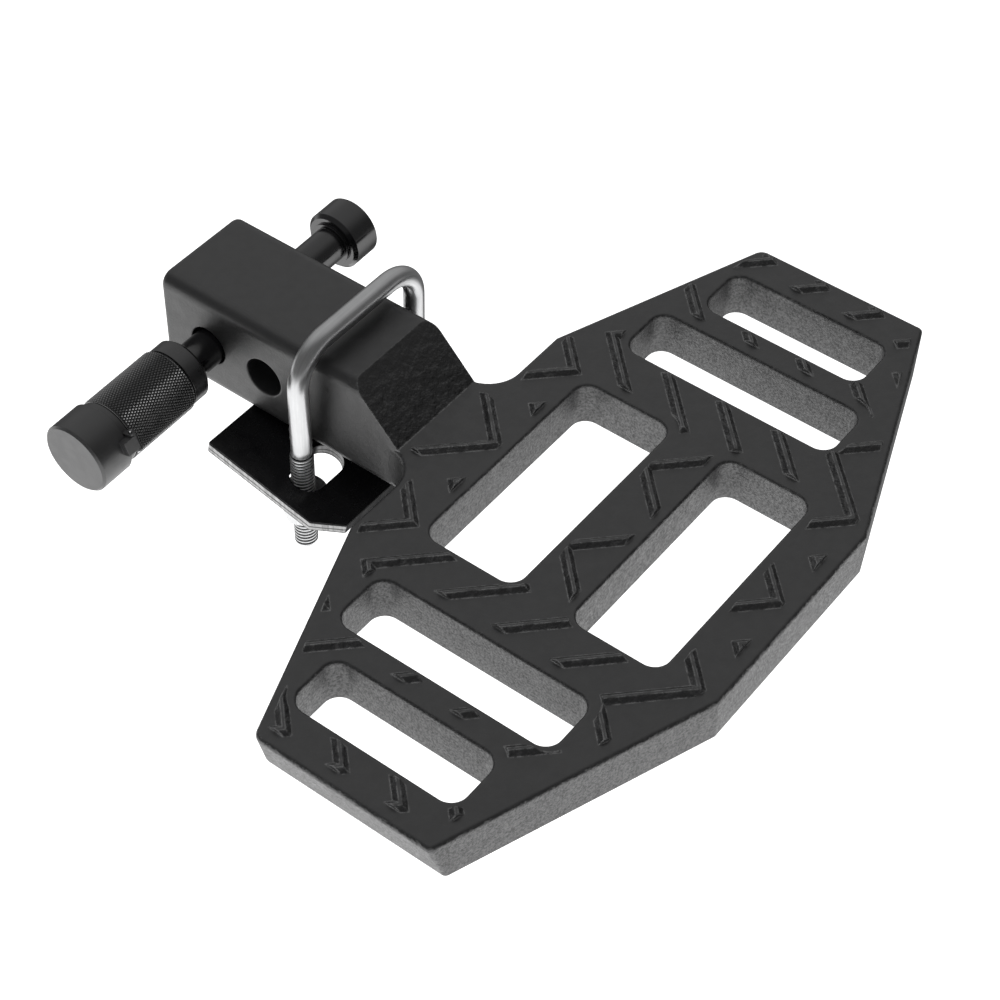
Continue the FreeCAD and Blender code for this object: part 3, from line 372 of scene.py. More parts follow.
@dataclass(frozen=True)
class CastBlack:
    """Satin black coating over a sand casting: sleek on its faces and on the ground
    shank, grainy, dusted and painted lighter as if lit on the tread's walls, lumpy on the neck.

    A field that ends in reach gives the values between which a mask sets in. The field
    of the same name without it, where there is one, gives what the mask's ends mean.
    """

    name: str = "casting_black"
    face: Triple = (0.011, 0.011, 0.0115)
    shank: Triple = (0.007, 0.007, 0.0072)
    # Painted light: the tread's walls get this lighter colour as if lit from the side, with dust
    # in its noise.
    wall: Triple = (0.060, 0.060, 0.061)
    speck: Triple = (0.012, 0.012, 0.012)
    # Lighter colour for rubbed wear, and also a painted highlight on the neck's lumps and edges.
    wear_and_highlight: Triple = (0.15, 0.15, 0.151)
    ior: float = 1.8
    edge_radius: float = 0.9 * MM
    neck_end: float = -120.0 * MM
    neck_end_blend: Pair = (8.0 * MM, 4.0 * MM)
    neck_start: float = -70.0 * MM
    neck_start_blend: float = 20.0 * MM
    steep_reach: Pair = (0.10, 0.75)
    sand_scale: float = 950.0
    sand_depth: float = 0.20 * MM
    shank_grain: float = 0.6
    grain: Pair = (0.08, 0.95)
    # This mask is dust and painted light together: it lightens the tread's walls as if lit.
    dust_reach: Pair = (0.32, 0.62)
    dust: Pair = (0.2, 1.0)
    drag_scale: float = 520.0
    drag_depth: float = 0.20 * MM
    drag_stretch: Triple = (1.0, 1.0, 0.45)
    drag_strength: float = 0.5
    swell_scale: float = 70.0
    swell_depth: float = 0.25 * MM
    swell_strength: float = 0.35
    lump_scale: float = 170.0
    lump_depth: float = 2.2 * MM
    fleck_scale: float = 1500.0
    fleck_reach: Pair = (0.60, 0.68)
    fleck: Pair = (0.0, 0.7)
    # The patch and rim fields below place wear and painted highlights together.
    wear_and_highlight_scale: float = 330.0
    patch_reach: Pair = (0.52, 0.68)
    patch: Pair = (0.0, 0.12)
    rim_turn: Pair = (0.006, 0.045)
    rim_reach: Pair = (0.38, 0.58)
    rim: Pair = (0.10, 0.9)
    sheen_scale: float = 220.0
    sheen: Pair = (0.36, 0.44)
    grit: Pair = (0.16, 0.0)
    sparkle: Pair = (-0.14, 0.14)
    specular: Pair = (0.5, 0.41)

    def make(self) -> bpy.types.Material:
        """Builds the material.

        Returns:
            The material.
        """
        graph = Graph(self.name)
        graph.shade("IOR", self.ior)
        tread, cast = self.regions(graph)
        steep = graph.steepness(UP, self.steep_reach)
        slant = graph.slant()
        walls = graph.math("MULTIPLY", steep, tread)
        sand = graph.noise(self.sand_scale, 4.0, 0.7)
        colour = self.colour(graph, sand, steep, walls)
        # Painted highlight with wear: slanting faces and edges are lightened towards the lighter
        # colour.
        pale = self.wear(graph, slant, cast)
        graph.shade("Base Color", graph.tint(pale, colour, self.wear_and_highlight))
        sheen = graph.span(graph.noise(self.sheen_scale, 3.0), NOISE_BODY, self.sheen)
        gritty = graph.math("MULTIPLY", walls, graph.span(sand, NOISE_BODY, self.grit))
        graph.shade("Roughness", graph.math("ADD", sheen, gritty))
        sparkle = graph.math("MULTIPLY", walls, graph.span(sand, NOISE_BODY, self.sparkle))
        plain = graph.math("MAXIMUM", graph.math("SUBTRACT", steep, tread), slant)
        graph.shade("Specular IOR Level", graph.math(
            "ADD", sparkle, graph.span(plain, NONE_TO_ALL, self.specular)))
        swell = graph.noise(self.swell_scale, 2.0)
        normal = graph.bump(swell, self.swell_depth, graph.soft_edges(self.edge_radius),
                            self.swell_strength)
        lumps = graph.math("MULTIPLY", graph.noise(self.lump_scale, 3.0, 0.6), cast)
        normal = graph.bump(lumps, self.lump_depth, normal, slant)
        upright = graph.math("ADD", walls, graph.math("MULTIPLY", steep, self.shank_grain))
        grain = graph.span(upright, NONE_TO_ALL, self.grain)
        normal = graph.bump(sand, self.sand_depth, normal, grain)
        drag = graph.noise(self.drag_scale, 3.0, 0.65, graph.stretched(self.drag_stretch))
        normal = graph.bump(drag, self.drag_depth, normal,
                            graph.math("MULTIPLY", walls, self.drag_strength))
        graph.shade("Normal", normal)
        return graph.material

    def regions(self, graph: Graph) -> tuple[Socket, Socket]:
        """Tells the tread and the rough casting from the ground shank.

        Args:
            graph: The material's tree.

        Returns:
            One on the tread, and one on neck and tread.
        """
        place = graph.node("ShaderNodeSeparateXYZ")
        graph.join(graph.place, place.inputs[0])
        before, after = self.neck_end_blend
        tread = graph.span(place.outputs["Y"], (self.neck_end - before, self.neck_end + after),
                           ALL_TO_NONE)
        cast = graph.span(place.outputs["Y"],
                          (self.neck_start - self.neck_start_blend, self.neck_start),
                          ALL_TO_NONE)
        return tread, cast

    def colour(self, graph: Graph, sand: Socket, steep: Socket, walls: Socket) -> Socket:
        """Colours the coating, with dust, painted light and dark flecks on the tread's walls.

        Args:
            graph: The material's tree.
            sand: The sand grain.
            steep: One on upright faces.
            walls: One on the tread's upright faces.

        Returns:
            The colour.
        """
        # Painted light mixed with dust: the tread's walls are lightened towards the wall colour
        # as if lit.
        dust_and_painted_light = graph.math("MULTIPLY", walls, graph.span(sand, self.dust_reach, self.dust))
        colour = graph.tint(steep, self.face, self.shank)
        colour = graph.tint(dust_and_painted_light, colour, self.wall)
        flecks = graph.span(graph.noise(self.fleck_scale, 2.0), self.fleck_reach, self.fleck)
        return graph.tint(graph.math("MULTIPLY", flecks, walls), colour, self.speck)

    def wear(self, graph: Graph, slant: Socket, cast: Socket) -> Socket:
        """Finds where the coating is rubbed and where highlights are painted, both lighter: on
        slanting faces and along edges.

        Args:
            graph: The material's tree.
            slant: One on slanting faces.
            cast: One on neck and tread.

        Returns:
            The amount of wear and painted highlight.
        """
        rough = graph.noise(self.wear_and_highlight_scale, 4.0, 0.7)
        rubbed_and_lit_patches = graph.math("MULTIPLY", graph.span(rough, self.patch_reach, self.patch), slant)
        rubbed_and_lit_patches = graph.math("MULTIPLY", rubbed_and_lit_patches, cast)
        # Painted highlight: bright rough lines along the edges, partly rubbed wear.
        rubbed_and_lit_rims = graph.math("MULTIPLY", graph.edges(self.edge_radius, self.rim_turn),
                          graph.span(rough, self.rim_reach, self.rim))
        rubbed_and_lit_rims = graph.math("MULTIPLY", rubbed_and_lit_rims, cast)
        return graph.math("MAXIMUM", rubbed_and_lit_patches, rubbed_and_lit_rims)


@dataclass(frozen=True)
class SheetPaint:
    """Gloss black paint over sheared plate, thin on its side edges and cut corners, and
    whole on the front and back edges, which lie crosswise.

    The bands are lines of paint along the edges, each a depth below the top face and
    half a width. They wander by a noise, which moves them by the wave shift on average.
    """

    name: str = "plate_black"
    paint: Triple = (0.004, 0.004, 0.0045)
    edge: Triple = (0.50, 0.50, 0.50)
    tilt_deg: float = 12.4
    top: float = -19.39 * MM
    bands: tuple[Pair, ...] = ((0.35 * MM, 0.45 * MM), (2.9 * MM, 0.55 * MM),
                               (5.1 * MM, 0.7 * MM))
    wave_scale: float = 130.0
    wave_depth: float = 0.8 * MM
    wave_shift: float = 0.3 * MM
    drag_scale: float = 240.0
    drag_depth: float = 0.08 * MM
    drag_stretch: Triple = (3.0, 3.0, 0.35)
    bare_reach: Pair = (0.30, 0.60)
    bare: Pair = (0.5, 1.0)
    bare_between: Pair = (1.0, 0.12)
    crosswise_reach: Pair = (0.80, 0.95)
    skin_scale: float = 420.0
    skin_depth: float = 0.03 * MM
    skin_strength: float = 0.6
    edge_radius: float = 0.4 * MM
    edge_dullness: float = 0.2
    gloss_scale: float = 160.0
    gloss: Pair = (0.20, 0.30)
    specular: Pair = (0.5, 0.02)

    def make(self) -> bpy.types.Material:
        """Builds the material.

        Returns:
            The material.
        """
        graph = Graph(self.name)
        tilt = math.radians(self.tilt_deg)
        upright = (0.0, -math.sin(tilt), math.cos(tilt))
        walls = graph.steepness(upright)
        drag = graph.noise(self.drag_scale, 3.0, 0.6, graph.stretched(self.drag_stretch))
        bare = graph.math("MULTIPLY", walls, graph.span(drag, self.bare_reach, self.bare))
        crosswise = graph.span(graph.facing((0.0, 1.0, 0.0)), self.crosswise_reach,
                               NONE_TO_ALL)
        graph.shade("Specular IOR Level", graph.span(crosswise, NONE_TO_ALL, self.specular))
        bare = graph.math("MULTIPLY", bare, graph.span(crosswise, NONE_TO_ALL, ALL_TO_NONE))
        height = graph.dot(self.wandering(graph), upright)
        for below, half in self.bands:
            line = graph.line_at(height, self.top - below + self.wave_shift, half)
            keep = graph.span(line, NONE_TO_ALL, self.bare_between)
            bare = graph.math("MULTIPLY", bare, keep)
        graph.shade("Base Color", graph.tint(bare, self.paint, self.edge))
        gloss = graph.span(graph.noise(self.gloss_scale, 3.0), NOISE_BODY, self.gloss)
        graph.shade("Roughness", graph.math(
            "ADD", gloss, graph.math("MULTIPLY", walls, self.edge_dullness)))
        normal = graph.bump(graph.noise(self.skin_scale, 2.0), self.skin_depth,
                            graph.soft_edges(self.edge_radius), self.skin_strength)
        graph.shade("Normal", graph.bump(drag, self.drag_depth, normal, walls))
        return graph.material

    def wandering(self, graph: Graph) -> Socket:
        """Moves the object's coordinates to and fro by a noise.

        Args:
            graph: The material's tree.

        Returns:
            The moved coordinates.
        """
        waves = graph.node("ShaderNodeTexNoise")
        waves.inputs["Scale"].default_value = self.wave_scale
        graph.join(graph.place, waves.inputs["Vector"])
        wavy = graph.node("ShaderNodeVectorMath")
        wavy.operation = "SCALE"
        wavy.inputs["Scale"].default_value = self.wave_depth
        graph.join(waves.outputs["Color"], wavy.inputs[0])
        moved = graph.node("ShaderNodeVectorMath")
        moved.operation = "ADD"
        graph.join(graph.place, moved.inputs[0])
        graph.join(wavy.outputs["Vector"], moved.inputs[1])
        return moved.outputs["Vector"]


@dataclass(frozen=True)
class Coating:
    """A smooth dark coating or moulding with a fine skin, duller down in any grooves."""

    name: str
    colour: Triple
    gloss_range: Pair
    skin_scale: float = 700.0
    skin_depth: float = 0.02 * MM
    skin_strength: float = 0.7
    edge_radius: float = 0.25 * MM
    ior: float = 1.8
    grooved: bool = False
    groove_reach: Pair = (0.40, 1.0)
    specular: Pair = (0.5, 0.03)
    cloud_scale: float = 180.0
    lighter: float = 1.5

    def make(self) -> bpy.types.Material:
        """Builds the material.

        Returns:
            The material.
        """
        graph = Graph(self.name)
        graph.shade("IOR", self.ior)
        cloud = graph.noise(self.cloud_scale, 3.0)
        if self.grooved:
            graph.shade("Specular IOR Level", graph.span(
                graph.attribute(GROOVE), self.groove_reach, self.specular))
        pale = tuple(value * self.lighter for value in self.colour)
        graph.shade("Base Color", graph.tint(cloud, self.colour, pale))
        graph.shade("Roughness", graph.span(cloud, NOISE_BODY, self.gloss_range))
        skin = graph.noise(self.skin_scale, 2.0)
        graph.shade("Normal", graph.bump(
            skin, self.skin_depth, graph.soft_edges(self.edge_radius), self.skin_strength))
        return graph.material


@dataclass(frozen=True)
class WorkedMetal:
    """Bare or plated metal with drawing or turning marks, and painted shade down in its grooves
    if it has any.
    """

    name: str
    colour: Triple
    gloss_range: Pair
    streaks: Triple = (1.0, 1.0, 0.06)
    streak_scale: float = 1600.0
    streak_depth: float = 0.02 * MM
    streak_strength: float = 0.6
    streak_shades: Pair = (0.5, 1.0)
    along_uv: bool = False
    # Colour of the painted shade in the thread's roots.
    groove: Triple | None = None
    groove_reach: Pair = (0.20, 0.55)
    cloud_scale: float = 120.0
    cloud_reach: Pair = (0.25, 0.7)
    cloud_shades: Pair = (0.6, 1.0)
    darker: float = 0.72

    def make(self) -> bpy.types.Material:
        """Builds the material.

        Returns:
            The material.
        """
        graph = Graph(self.name)
        if self.along_uv:
            chart = graph.node("ShaderNodeUVMap")
            chart.uv_map = LENGTHWAYS
            graph.place = chart.outputs["UV"]
        marks = graph.noise(self.streak_scale, 3.0, 0.6, graph.stretched(self.streaks))
        cloud = graph.noise(self.cloud_scale, 3.0)
        dull = tuple(value * self.darker for value in self.colour)
        blend = graph.math("MULTIPLY", graph.span(marks, NOISE_BODY, self.streak_shades),
                           graph.span(cloud, self.cloud_reach, self.cloud_shades))
        colour = graph.tint(blend, dull, self.colour)
        # Painted shade: the grooves darken towards their roots, where shade falls between the
        # crests.
        if self.groove is not None:
            root_shade = graph.span(graph.attribute(GROOVE), self.groove_reach, NONE_TO_ALL)
            colour = graph.tint(root_shade, colour, self.groove)
        graph.shade("Base Color", colour)
        graph.shade("Metallic", 1.0)
        graph.shade("Roughness", graph.span(cloud, NOISE_BODY, self.gloss_range))
        graph.shade("Normal", graph.bump(marks, self.streak_depth, None, self.streak_strength))
        return graph.material


def seen_straight(tree: bpy.types.NodeTree) -> Socket:
    """Tells what the eye sees, also in gloss or through glass, from what only gives light.

    Args:
        tree: The tree that the nodes are added to.

    Returns:
        One where it is seen, zero elsewhere.
    """
    path = tree.nodes.new("ShaderNodeLightPath")
    seen = path.outputs["Is Camera Ray"]
    for ray in ("Is Glossy Ray", "Is Transmission Ray"):
        either = tree.nodes.new("ShaderNodeMath")
        either.operation = "MAXIMUM"
        tree.links.new(seen, either.inputs[0])
        tree.links.new(path.outputs[ray], either.inputs[1])
        seen = either.outputs[0]
    return seen


class MeshWork:
    """Shared ways to turn points and faces into pieces."""

    @staticmethod
    def piece(name: str, points: list[Vector], faces: Faces,
              smooth: bool = True) -> bpy.types.Object:
        """Makes a piece from points and faces.

        Args:
            name: The piece's name.
            points: Corner points in metres.
            faces: Corner numbers of each face.
            smooth: Whether its faces shade smoothly.

        Returns:
            The new object, linked to the scene.
        """
        mesh = bpy.data.meshes.new(name)
        mesh.from_pydata([tuple(point) for point in points], [], faces)
        mesh.validate()
        work = bmesh.new()
        work.from_mesh(mesh)
        bmesh.ops.remove_doubles(work, verts=work.verts, dist=WELD_DISTANCE)
        bmesh.ops.dissolve_degenerate(work, edges=work.edges, dist=THIN_EDGE)
        bmesh.ops.recalc_face_normals(work, faces=work.faces)
        for face in work.faces:
            face.smooth = smooth
        work.to_mesh(mesh)
        work.free()
        thing = bpy.data.objects.new(name, mesh)
        bpy.context.scene.collection.objects.link(thing)
        return thing

    @staticmethod
    def dress(thing: bpy.types.Object, material: bpy.types.Material) -> None:
        """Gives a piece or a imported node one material.

        Args:
            thing: The piece or node.
            material: Its finish.
        """
        if not thing.data.materials:
            thing.data.materials.append(material)
        for place in thing.material_slots:
            place.link = "OBJECT"
            place.material = material

    @staticmethod
    def skin(rings: int, around: int) -> Faces:
        """Joins rings of points, each to the next, by a skin of four-sided faces.

        Args:
            rings: Number of rings.
            around: Points in each ring.

        Returns:
            The faces.
        """
        faces: Faces = []
        for ring in range(rings - 1):
            for column in range(around):
                after = (column + 1) % around
                low, high = ring * around, (ring + 1) * around
                faces.append((low + column, low + after, high + after, high + column))
        return faces

    @staticmethod
    def at(along: float, angle: float, radius: float) -> Vector:
        """A point at a distance along X, an angle around it and a radius."""
        return Vector((along, radius * math.cos(angle), radius * math.sin(angle)))

    @staticmethod
    def store(thing: bpy.types.Object, name: str, values: list[float]) -> None:
        """Stores a number on each point of a piece, held between zero and one.

        Args:
            thing: The piece.
            name: The attribute's name.
            values: The numbers, in the order of the points.
        """
        layer = thing.data.attributes.new(name=name, type="FLOAT", domain="POINT")
        for entry, value in zip(layer.data, values):
            entry.value = min(max(value, 0.0), 1.0)


@dataclass
class UBolt:
    """The bent round bar with a rolled thread on each leg.

    The thread's profile is a list of heights, from root to crest, each at its share of
    the pitch.
    """

    middle_x: float = 1.8 * MM
    leg_x: float = 37.0 * MM
    leg_y: float = -58.5 * MM
    bar_z: float = 34.8 * MM
    bend: float = 17.4 * MM
    bar_radius: float = 4.45 * MM
    thread_radius: float = 5.0 * MM
    root_radius: float = 4.1 * MM
    thread_top: float = -17.9 * MM
    leg_end: float = -71.0 * MM
    pitch: float = 1.8 * MM
    runout_pitches: float = 0.4
    end_chamfer: float = 0.1 * MM
    seam: float = 0.02 * MM
    around: int = 40
    straight_steps: int = 12
    bend_steps: int = 24
    sharp_deg: float = 26.0
    profile: tuple[Pair, ...] = (
        (0.00, 0.87), (0.05, 1.0), (0.37, 1.0), (0.42, 0.87), (0.63, 0.0), (0.79, 0.0))

    def thread(self, side: int) -> tuple[list[Vector], Faces]:
        """Lays the thread of one leg, its rows following the helix.

        Args:
            side: One for the right leg, minus one for the left.

        Returns:
            Points and faces.
        """
        length = self.thread_top - self.leg_end
        steps = len(self.profile)
        rows = (int(length / self.pitch) + 3) * steps
        points: list[Vector] = []
        for column in range(self.around):
            angle = 2.0 * math.pi * column / self.around
            for row in range(rows):
                share, height = self.profile[row % steps]
                along = (row // steps + share + column / self.around - 1.0) * self.pitch
                held = min(max(along, 0.0), length)
                radius = self.radius_at(height, held, length)
                points.append(self.on_leg(side, angle, radius, held))
        faces: Faces = []
        for column in range(self.around):
            wrap = column == self.around - 1
            for row in range(rows - 1):
                near = column * rows + row
                far = row + steps if wrap else (column + 1) * rows + row
                if wrap and far + 1 >= rows:
                    continue
                faces.append((near, near + 1, far + 1, far))
        return points, faces

    def leg_middle(self, side: int) -> float:
        """The x of a leg's centre line, by its side of one or minus one."""
        return self.middle_x + side * self.leg_x

    def on_leg(self, side: int, angle: float, radius: float, above: float) -> Vector:
        """A point around a leg's centre line, at a height above the leg's end."""
        return Vector((self.leg_middle(side) + radius * math.cos(angle),
                       self.leg_y + radius * math.sin(angle), self.leg_end + above))

    def radius_at(self, height: float, along: float, length: float) -> float:
        """Radius of the thread at a step of its profile.

        Args:
            height: Height of the profile there, from root to crest.
            along: Distance from the leg's end.
            length: Length of the threaded part.

        Returns:
            The radius in metres.
        """
        depth = self.thread_radius - self.root_radius
        radius = self.root_radius + depth * height
        runout = min(max((length - along) / (self.runout_pitches * self.pitch), 0.0), 1.0)
        radius = self.bar_radius + (radius - self.bar_radius) * runout
        lead_in = self.root_radius - self.end_chamfer + along
        return min(radius, lead_in)

    def path(self) -> list[tuple[Vector, Vector]]:
        """Centre line of the plain bar, from one thread over to the other.

        Returns:
            Points, each with the direction of travel there.
        """
        line: list[tuple[Vector, Vector]] = []
        low, high = self.thread_top, self.bar_z - self.bend
        for step in range(self.straight_steps + 1):
            height = low + (high - low) * step / self.straight_steps
            line.append((Vector((self.leg_middle(-1), self.leg_y, height)),
                         Vector((0, 0, 1))))
        reach = self.leg_x - self.bend
        for step in range(1, self.bend_steps + 1):
            turn = math.pi / 2 * step / self.bend_steps
            line.append((Vector((self.middle_x - reach - self.bend * math.cos(turn), self.leg_y,
                                 high + self.bend * math.sin(turn))),
                         Vector((math.sin(turn), 0, math.cos(turn)))))
        right = [(Vector((2 * self.middle_x - point.x, point.y, point.z)),
                  Vector((way.x, 0, -way.z))) for point, way in reversed(line)]
        return line + right

    def bar(self) -> tuple[list[Vector], Faces]:
        """Sweeps the plain bar along its centre line.

        Returns:
            Points and faces.
        """
        points: list[Vector] = []
        line = self.path()
        across = Vector((0, 1, 0))
        for centre, way in line:
            outward = across.cross(way).normalized()
            for column in range(self.around):
                angle = 2.0 * math.pi * column / self.around
                points.append(centre + self.bar_radius
                              * (outward * math.cos(angle) + across * math.sin(angle)))
        return points, MeshWork.skin(len(line), self.around)

    def build(self, material: bpy.types.Material) -> bpy.types.Object:
        """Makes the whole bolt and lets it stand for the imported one.

        Args:
            material: The plated finish.

        Returns:
            The piece.
        """
        points, faces = self.bar()
        for side in (-1, 1):
            more_points, more_faces = self.thread(side)
            base = len(points)
            points += more_points
            faces += [tuple(base + corner for corner in face) for face in more_faces]
            faces.append(self.end_disc(points, side))
        bolt = MeshWork.piece("u_bolt_bar", points, faces)
        bolt.data.set_sharp_from_angle(angle=math.radians(self.sharp_deg))
        self.chart(bolt)
        MeshWork.dress(bolt, material)
        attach(bolt, Body.U_BOLT.value)
        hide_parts("u_bolt")
        return bolt

    def end_disc(self, points: list[Vector], side: int) -> tuple[int, ...]:
        """Adds the flat end of one leg.

        Args:
            points: Points of the bolt, to which the end's own are added.
            side: One for the right leg, minus one for the left.

        Returns:
            The end's face.
        """
        start = len(points)
        radius = self.root_radius - self.end_chamfer
        for column in range(self.around):
            points.append(self.on_leg(side, 2.0 * math.pi * column / self.around, radius, 0.0))
        return tuple(range(start, start + self.around))

    def laid_out(self, point: Vector) -> Pair:
        """Finds a point's place along the bar and around it.

        Args:
            point: A point of the surface.

        Returns:
            Distance along the bent bar, and around it from its outer side.
        """
        high, reach = self.bar_z - self.bend, self.leg_x - self.bend
        out = abs(point.x - self.middle_x)
        quarter = self.bend * math.pi / 2
        if point.z < high:
            along, rise = point.z, out - self.leg_x
        elif out < reach:
            along, rise = high + quarter + reach - out, point.z - self.bar_z
        else:
            turn = math.atan2(point.z - high, out - reach)
            along = high + self.bend * turn
            rise = math.hypot(point.z - high, out - reach) - self.bend
        if point.x > self.middle_x:
            along = 2 * (high + quarter + reach) - along
        return along, abs(math.atan2(point.y - self.leg_y, rise)) * self.bar_radius

    def chart(self, bolt: bpy.types.Object) -> None:
        """Charts the way along and around the bar, and how deep the thread is cut.

        Args:
            bolt: The finished bolt.
        """
        layer = bolt.data.uv_layers.new(name=LENGTHWAYS)
        for loop in bolt.data.loops:
            point = bolt.data.vertices[loop.vertex_index].co
            layer.data[loop.index].uv = self.laid_out(point)
        MeshWork.store(bolt, GROOVE, [self.cut_at(vertex.co) for vertex in bolt.data.vertices])

    def cut_at(self, point: Vector) -> float:
        """Measures how deep a point lies in the thread.

        Args:
            point: A point of the surface.

        Returns:
            Zero on a crest and on the plain bar, one at a root.
        """
        if point.z >= self.thread_top - self.seam:
            return 0.0
        side = 1 if point.x > self.middle_x else -1
        radius = math.hypot(point.x - self.leg_middle(side), point.y - self.leg_y)
        return (self.thread_radius - radius) / (self.thread_radius - self.root_radius)


@dataclass
class LockLine:
    """The leaning line of the hitch pin, which the whole lock shares."""

    sag_deg: float = 1.7
    around: int = 120

    def matrix(self) -> Matrix:
        """The turn that brings pieces drawn along X onto the pin's line."""
        return Matrix.Rotation(math.radians(-self.sag_deg), 4, "Y")

    def lathe(self, name: str, profile: list[Pair]) -> bpy.types.Object:
        """Turns a profile about the pin's line.

        Args:
            name: The piece's name.
            profile: Corners as distance along the line and radius.

        Returns:
            The piece.
        """
        turn = self.matrix()
        points = [turn @ MeshWork.at(along, 2.0 * math.pi * column / self.around, radius)
                  for along, radius in profile for column in range(self.around)]
        return MeshWork.piece(name, points, MeshWork.skin(len(profile), self.around))


@dataclass
class KnurledSleeve:
    """The lock's grip: a sleeve rolled all over with diamonds."""

    line: LockLine
    start: float = -48.2 * MM
    end: float = -85.0 * MM
    radius: float = 14.9 * MM
    bore: float = 12.3 * MM
    chamfer: float = 1.6 * MM
    plain: float = 0.5 * MM
    depth: float = 0.56 * MM
    columns: int = 68
    rows: int = 15
    crown: float = 0.02
    front_bevel: float = 0.9 * MM
    front_lip: float = 1.0 * MM
    back_bevel: Pair = (0.1 * MM, 0.2 * MM)
    rim: float = 0.05 * MM

    def diamonds(self) -> tuple[list[Vector], Faces]:
        """Rolls the diamonds: low corners in the grooves and a small crown on each.

        Returns:
            Points and faces.
        """
        first = self.start - self.chamfer
        last = self.end + self.plain
        half = (last - first) / (2 * self.rows)
        around = 2 * self.columns
        slice_angle = math.pi / self.columns
        low, top = self.radius - self.depth, self.radius
        points: list[Vector] = []
        index: dict[tuple[int, int], int] = {}
        for row in range(2 * self.rows + 1):
            for column in range(around):
                if (row + column) % 2 == 0:
                    index[(row, column)] = len(points)
                    points.append(MeshWork.at(first + row * half, column * slice_angle, low))
        faces: Faces = []
        for row in range(2 * self.rows + 1):
            for column in range(around):
                if (row + column) % 2 == 0:
                    continue
                corners: list[int] = []
                crown: list[int] = []
                for row_step, column_step in ((0, -1), (1, 0), (0, 1), (-1, 0)):
                    place = (row + row_step, (column + column_step) % around)
                    if place not in index:
                        continue
                    corners.append(index[place])
                    crown.append(len(points))
                    points.append(MeshWork.at(
                        first + (row + self.crown * row_step) * half,
                        (column + self.crown * column_step) * slice_angle, top))
                faces.append(tuple(crown))
                for corner, low_corner in enumerate(corners):
                    after = (corner + 1) % len(corners)
                    faces.append((crown[corner], low_corner, corners[after], crown[after]))
        return points, faces

    def grip(self) -> bpy.types.Object:
        """Makes the rolled skin and stores how deep its grooves are.

        Returns:
            The piece.
        """
        points, faces = self.diamonds()
        turn = self.line.matrix()
        grip = MeshWork.piece("sleeve_knurl", [turn @ point for point in points], faces,
                              smooth=False)
        back = turn.inverted()
        places = [back @ vertex.co for vertex in grip.data.vertices]
        MeshWork.store(grip, GROOVE, [(self.radius - math.hypot(place.y, place.z)) / self.depth
                                      for place in places])
        return grip

    def shell(self) -> bpy.types.Object:
        """Turns the tube under the rolled skin, with its bevelled ends.

        Returns:
            The piece.
        """
        low = self.radius - self.depth
        return self.line.lathe("sleeve_shell", [
            (self.start - self.chamfer, low),
            (self.start - self.chamfer + self.rim, low),
            (self.start - self.rim, low - self.front_bevel),
            (self.start, low - self.front_lip),
            (self.start, self.bore),
            (self.end, self.bore),
            (self.end, low - self.back_bevel[1]),
            (self.end + self.back_bevel[0], low),
            (self.end + self.plain, low),
        ])

    def build(self, material: bpy.types.Material) -> bpy.types.Object:
        """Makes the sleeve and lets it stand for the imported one.

        Args:
            material: The black anodised finish.

        Returns:
            The piece.
        """
        grip, shell = self.grip(), self.shell()
        for piece in (grip, shell):
            MeshWork.dress(piece, material)
            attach(piece, Body.LOCK.value)
        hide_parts("lock_sleeve")
        return grip


@dataclass(frozen=True)
class Lamp:
    """A soft square lamp of a side in metres and a power in watts."""

    name: str
    place: Triple
    power: float
    size: float = 1.2

    def hang(self, aim: Triple) -> None:
        """Adds the lamp. Neither the eye nor gloss sees it: gloss shows the tent.

        Args:
            aim: The point that it faces.
        """
        data = bpy.data.lights.new(self.name, "AREA")
        data.size = self.size
        data.energy = self.power
        lamp = bpy.data.objects.new(self.name, data)
        lamp.location = self.place
        way = Vector(aim) - Vector(self.place)
        lamp.rotation_euler = way.to_track_quat("-Z", "Y").to_euler()
        lamp.visible_camera = False
        lamp.visible_glossy = False
        bpy.context.scene.collection.objects.link(lamp)


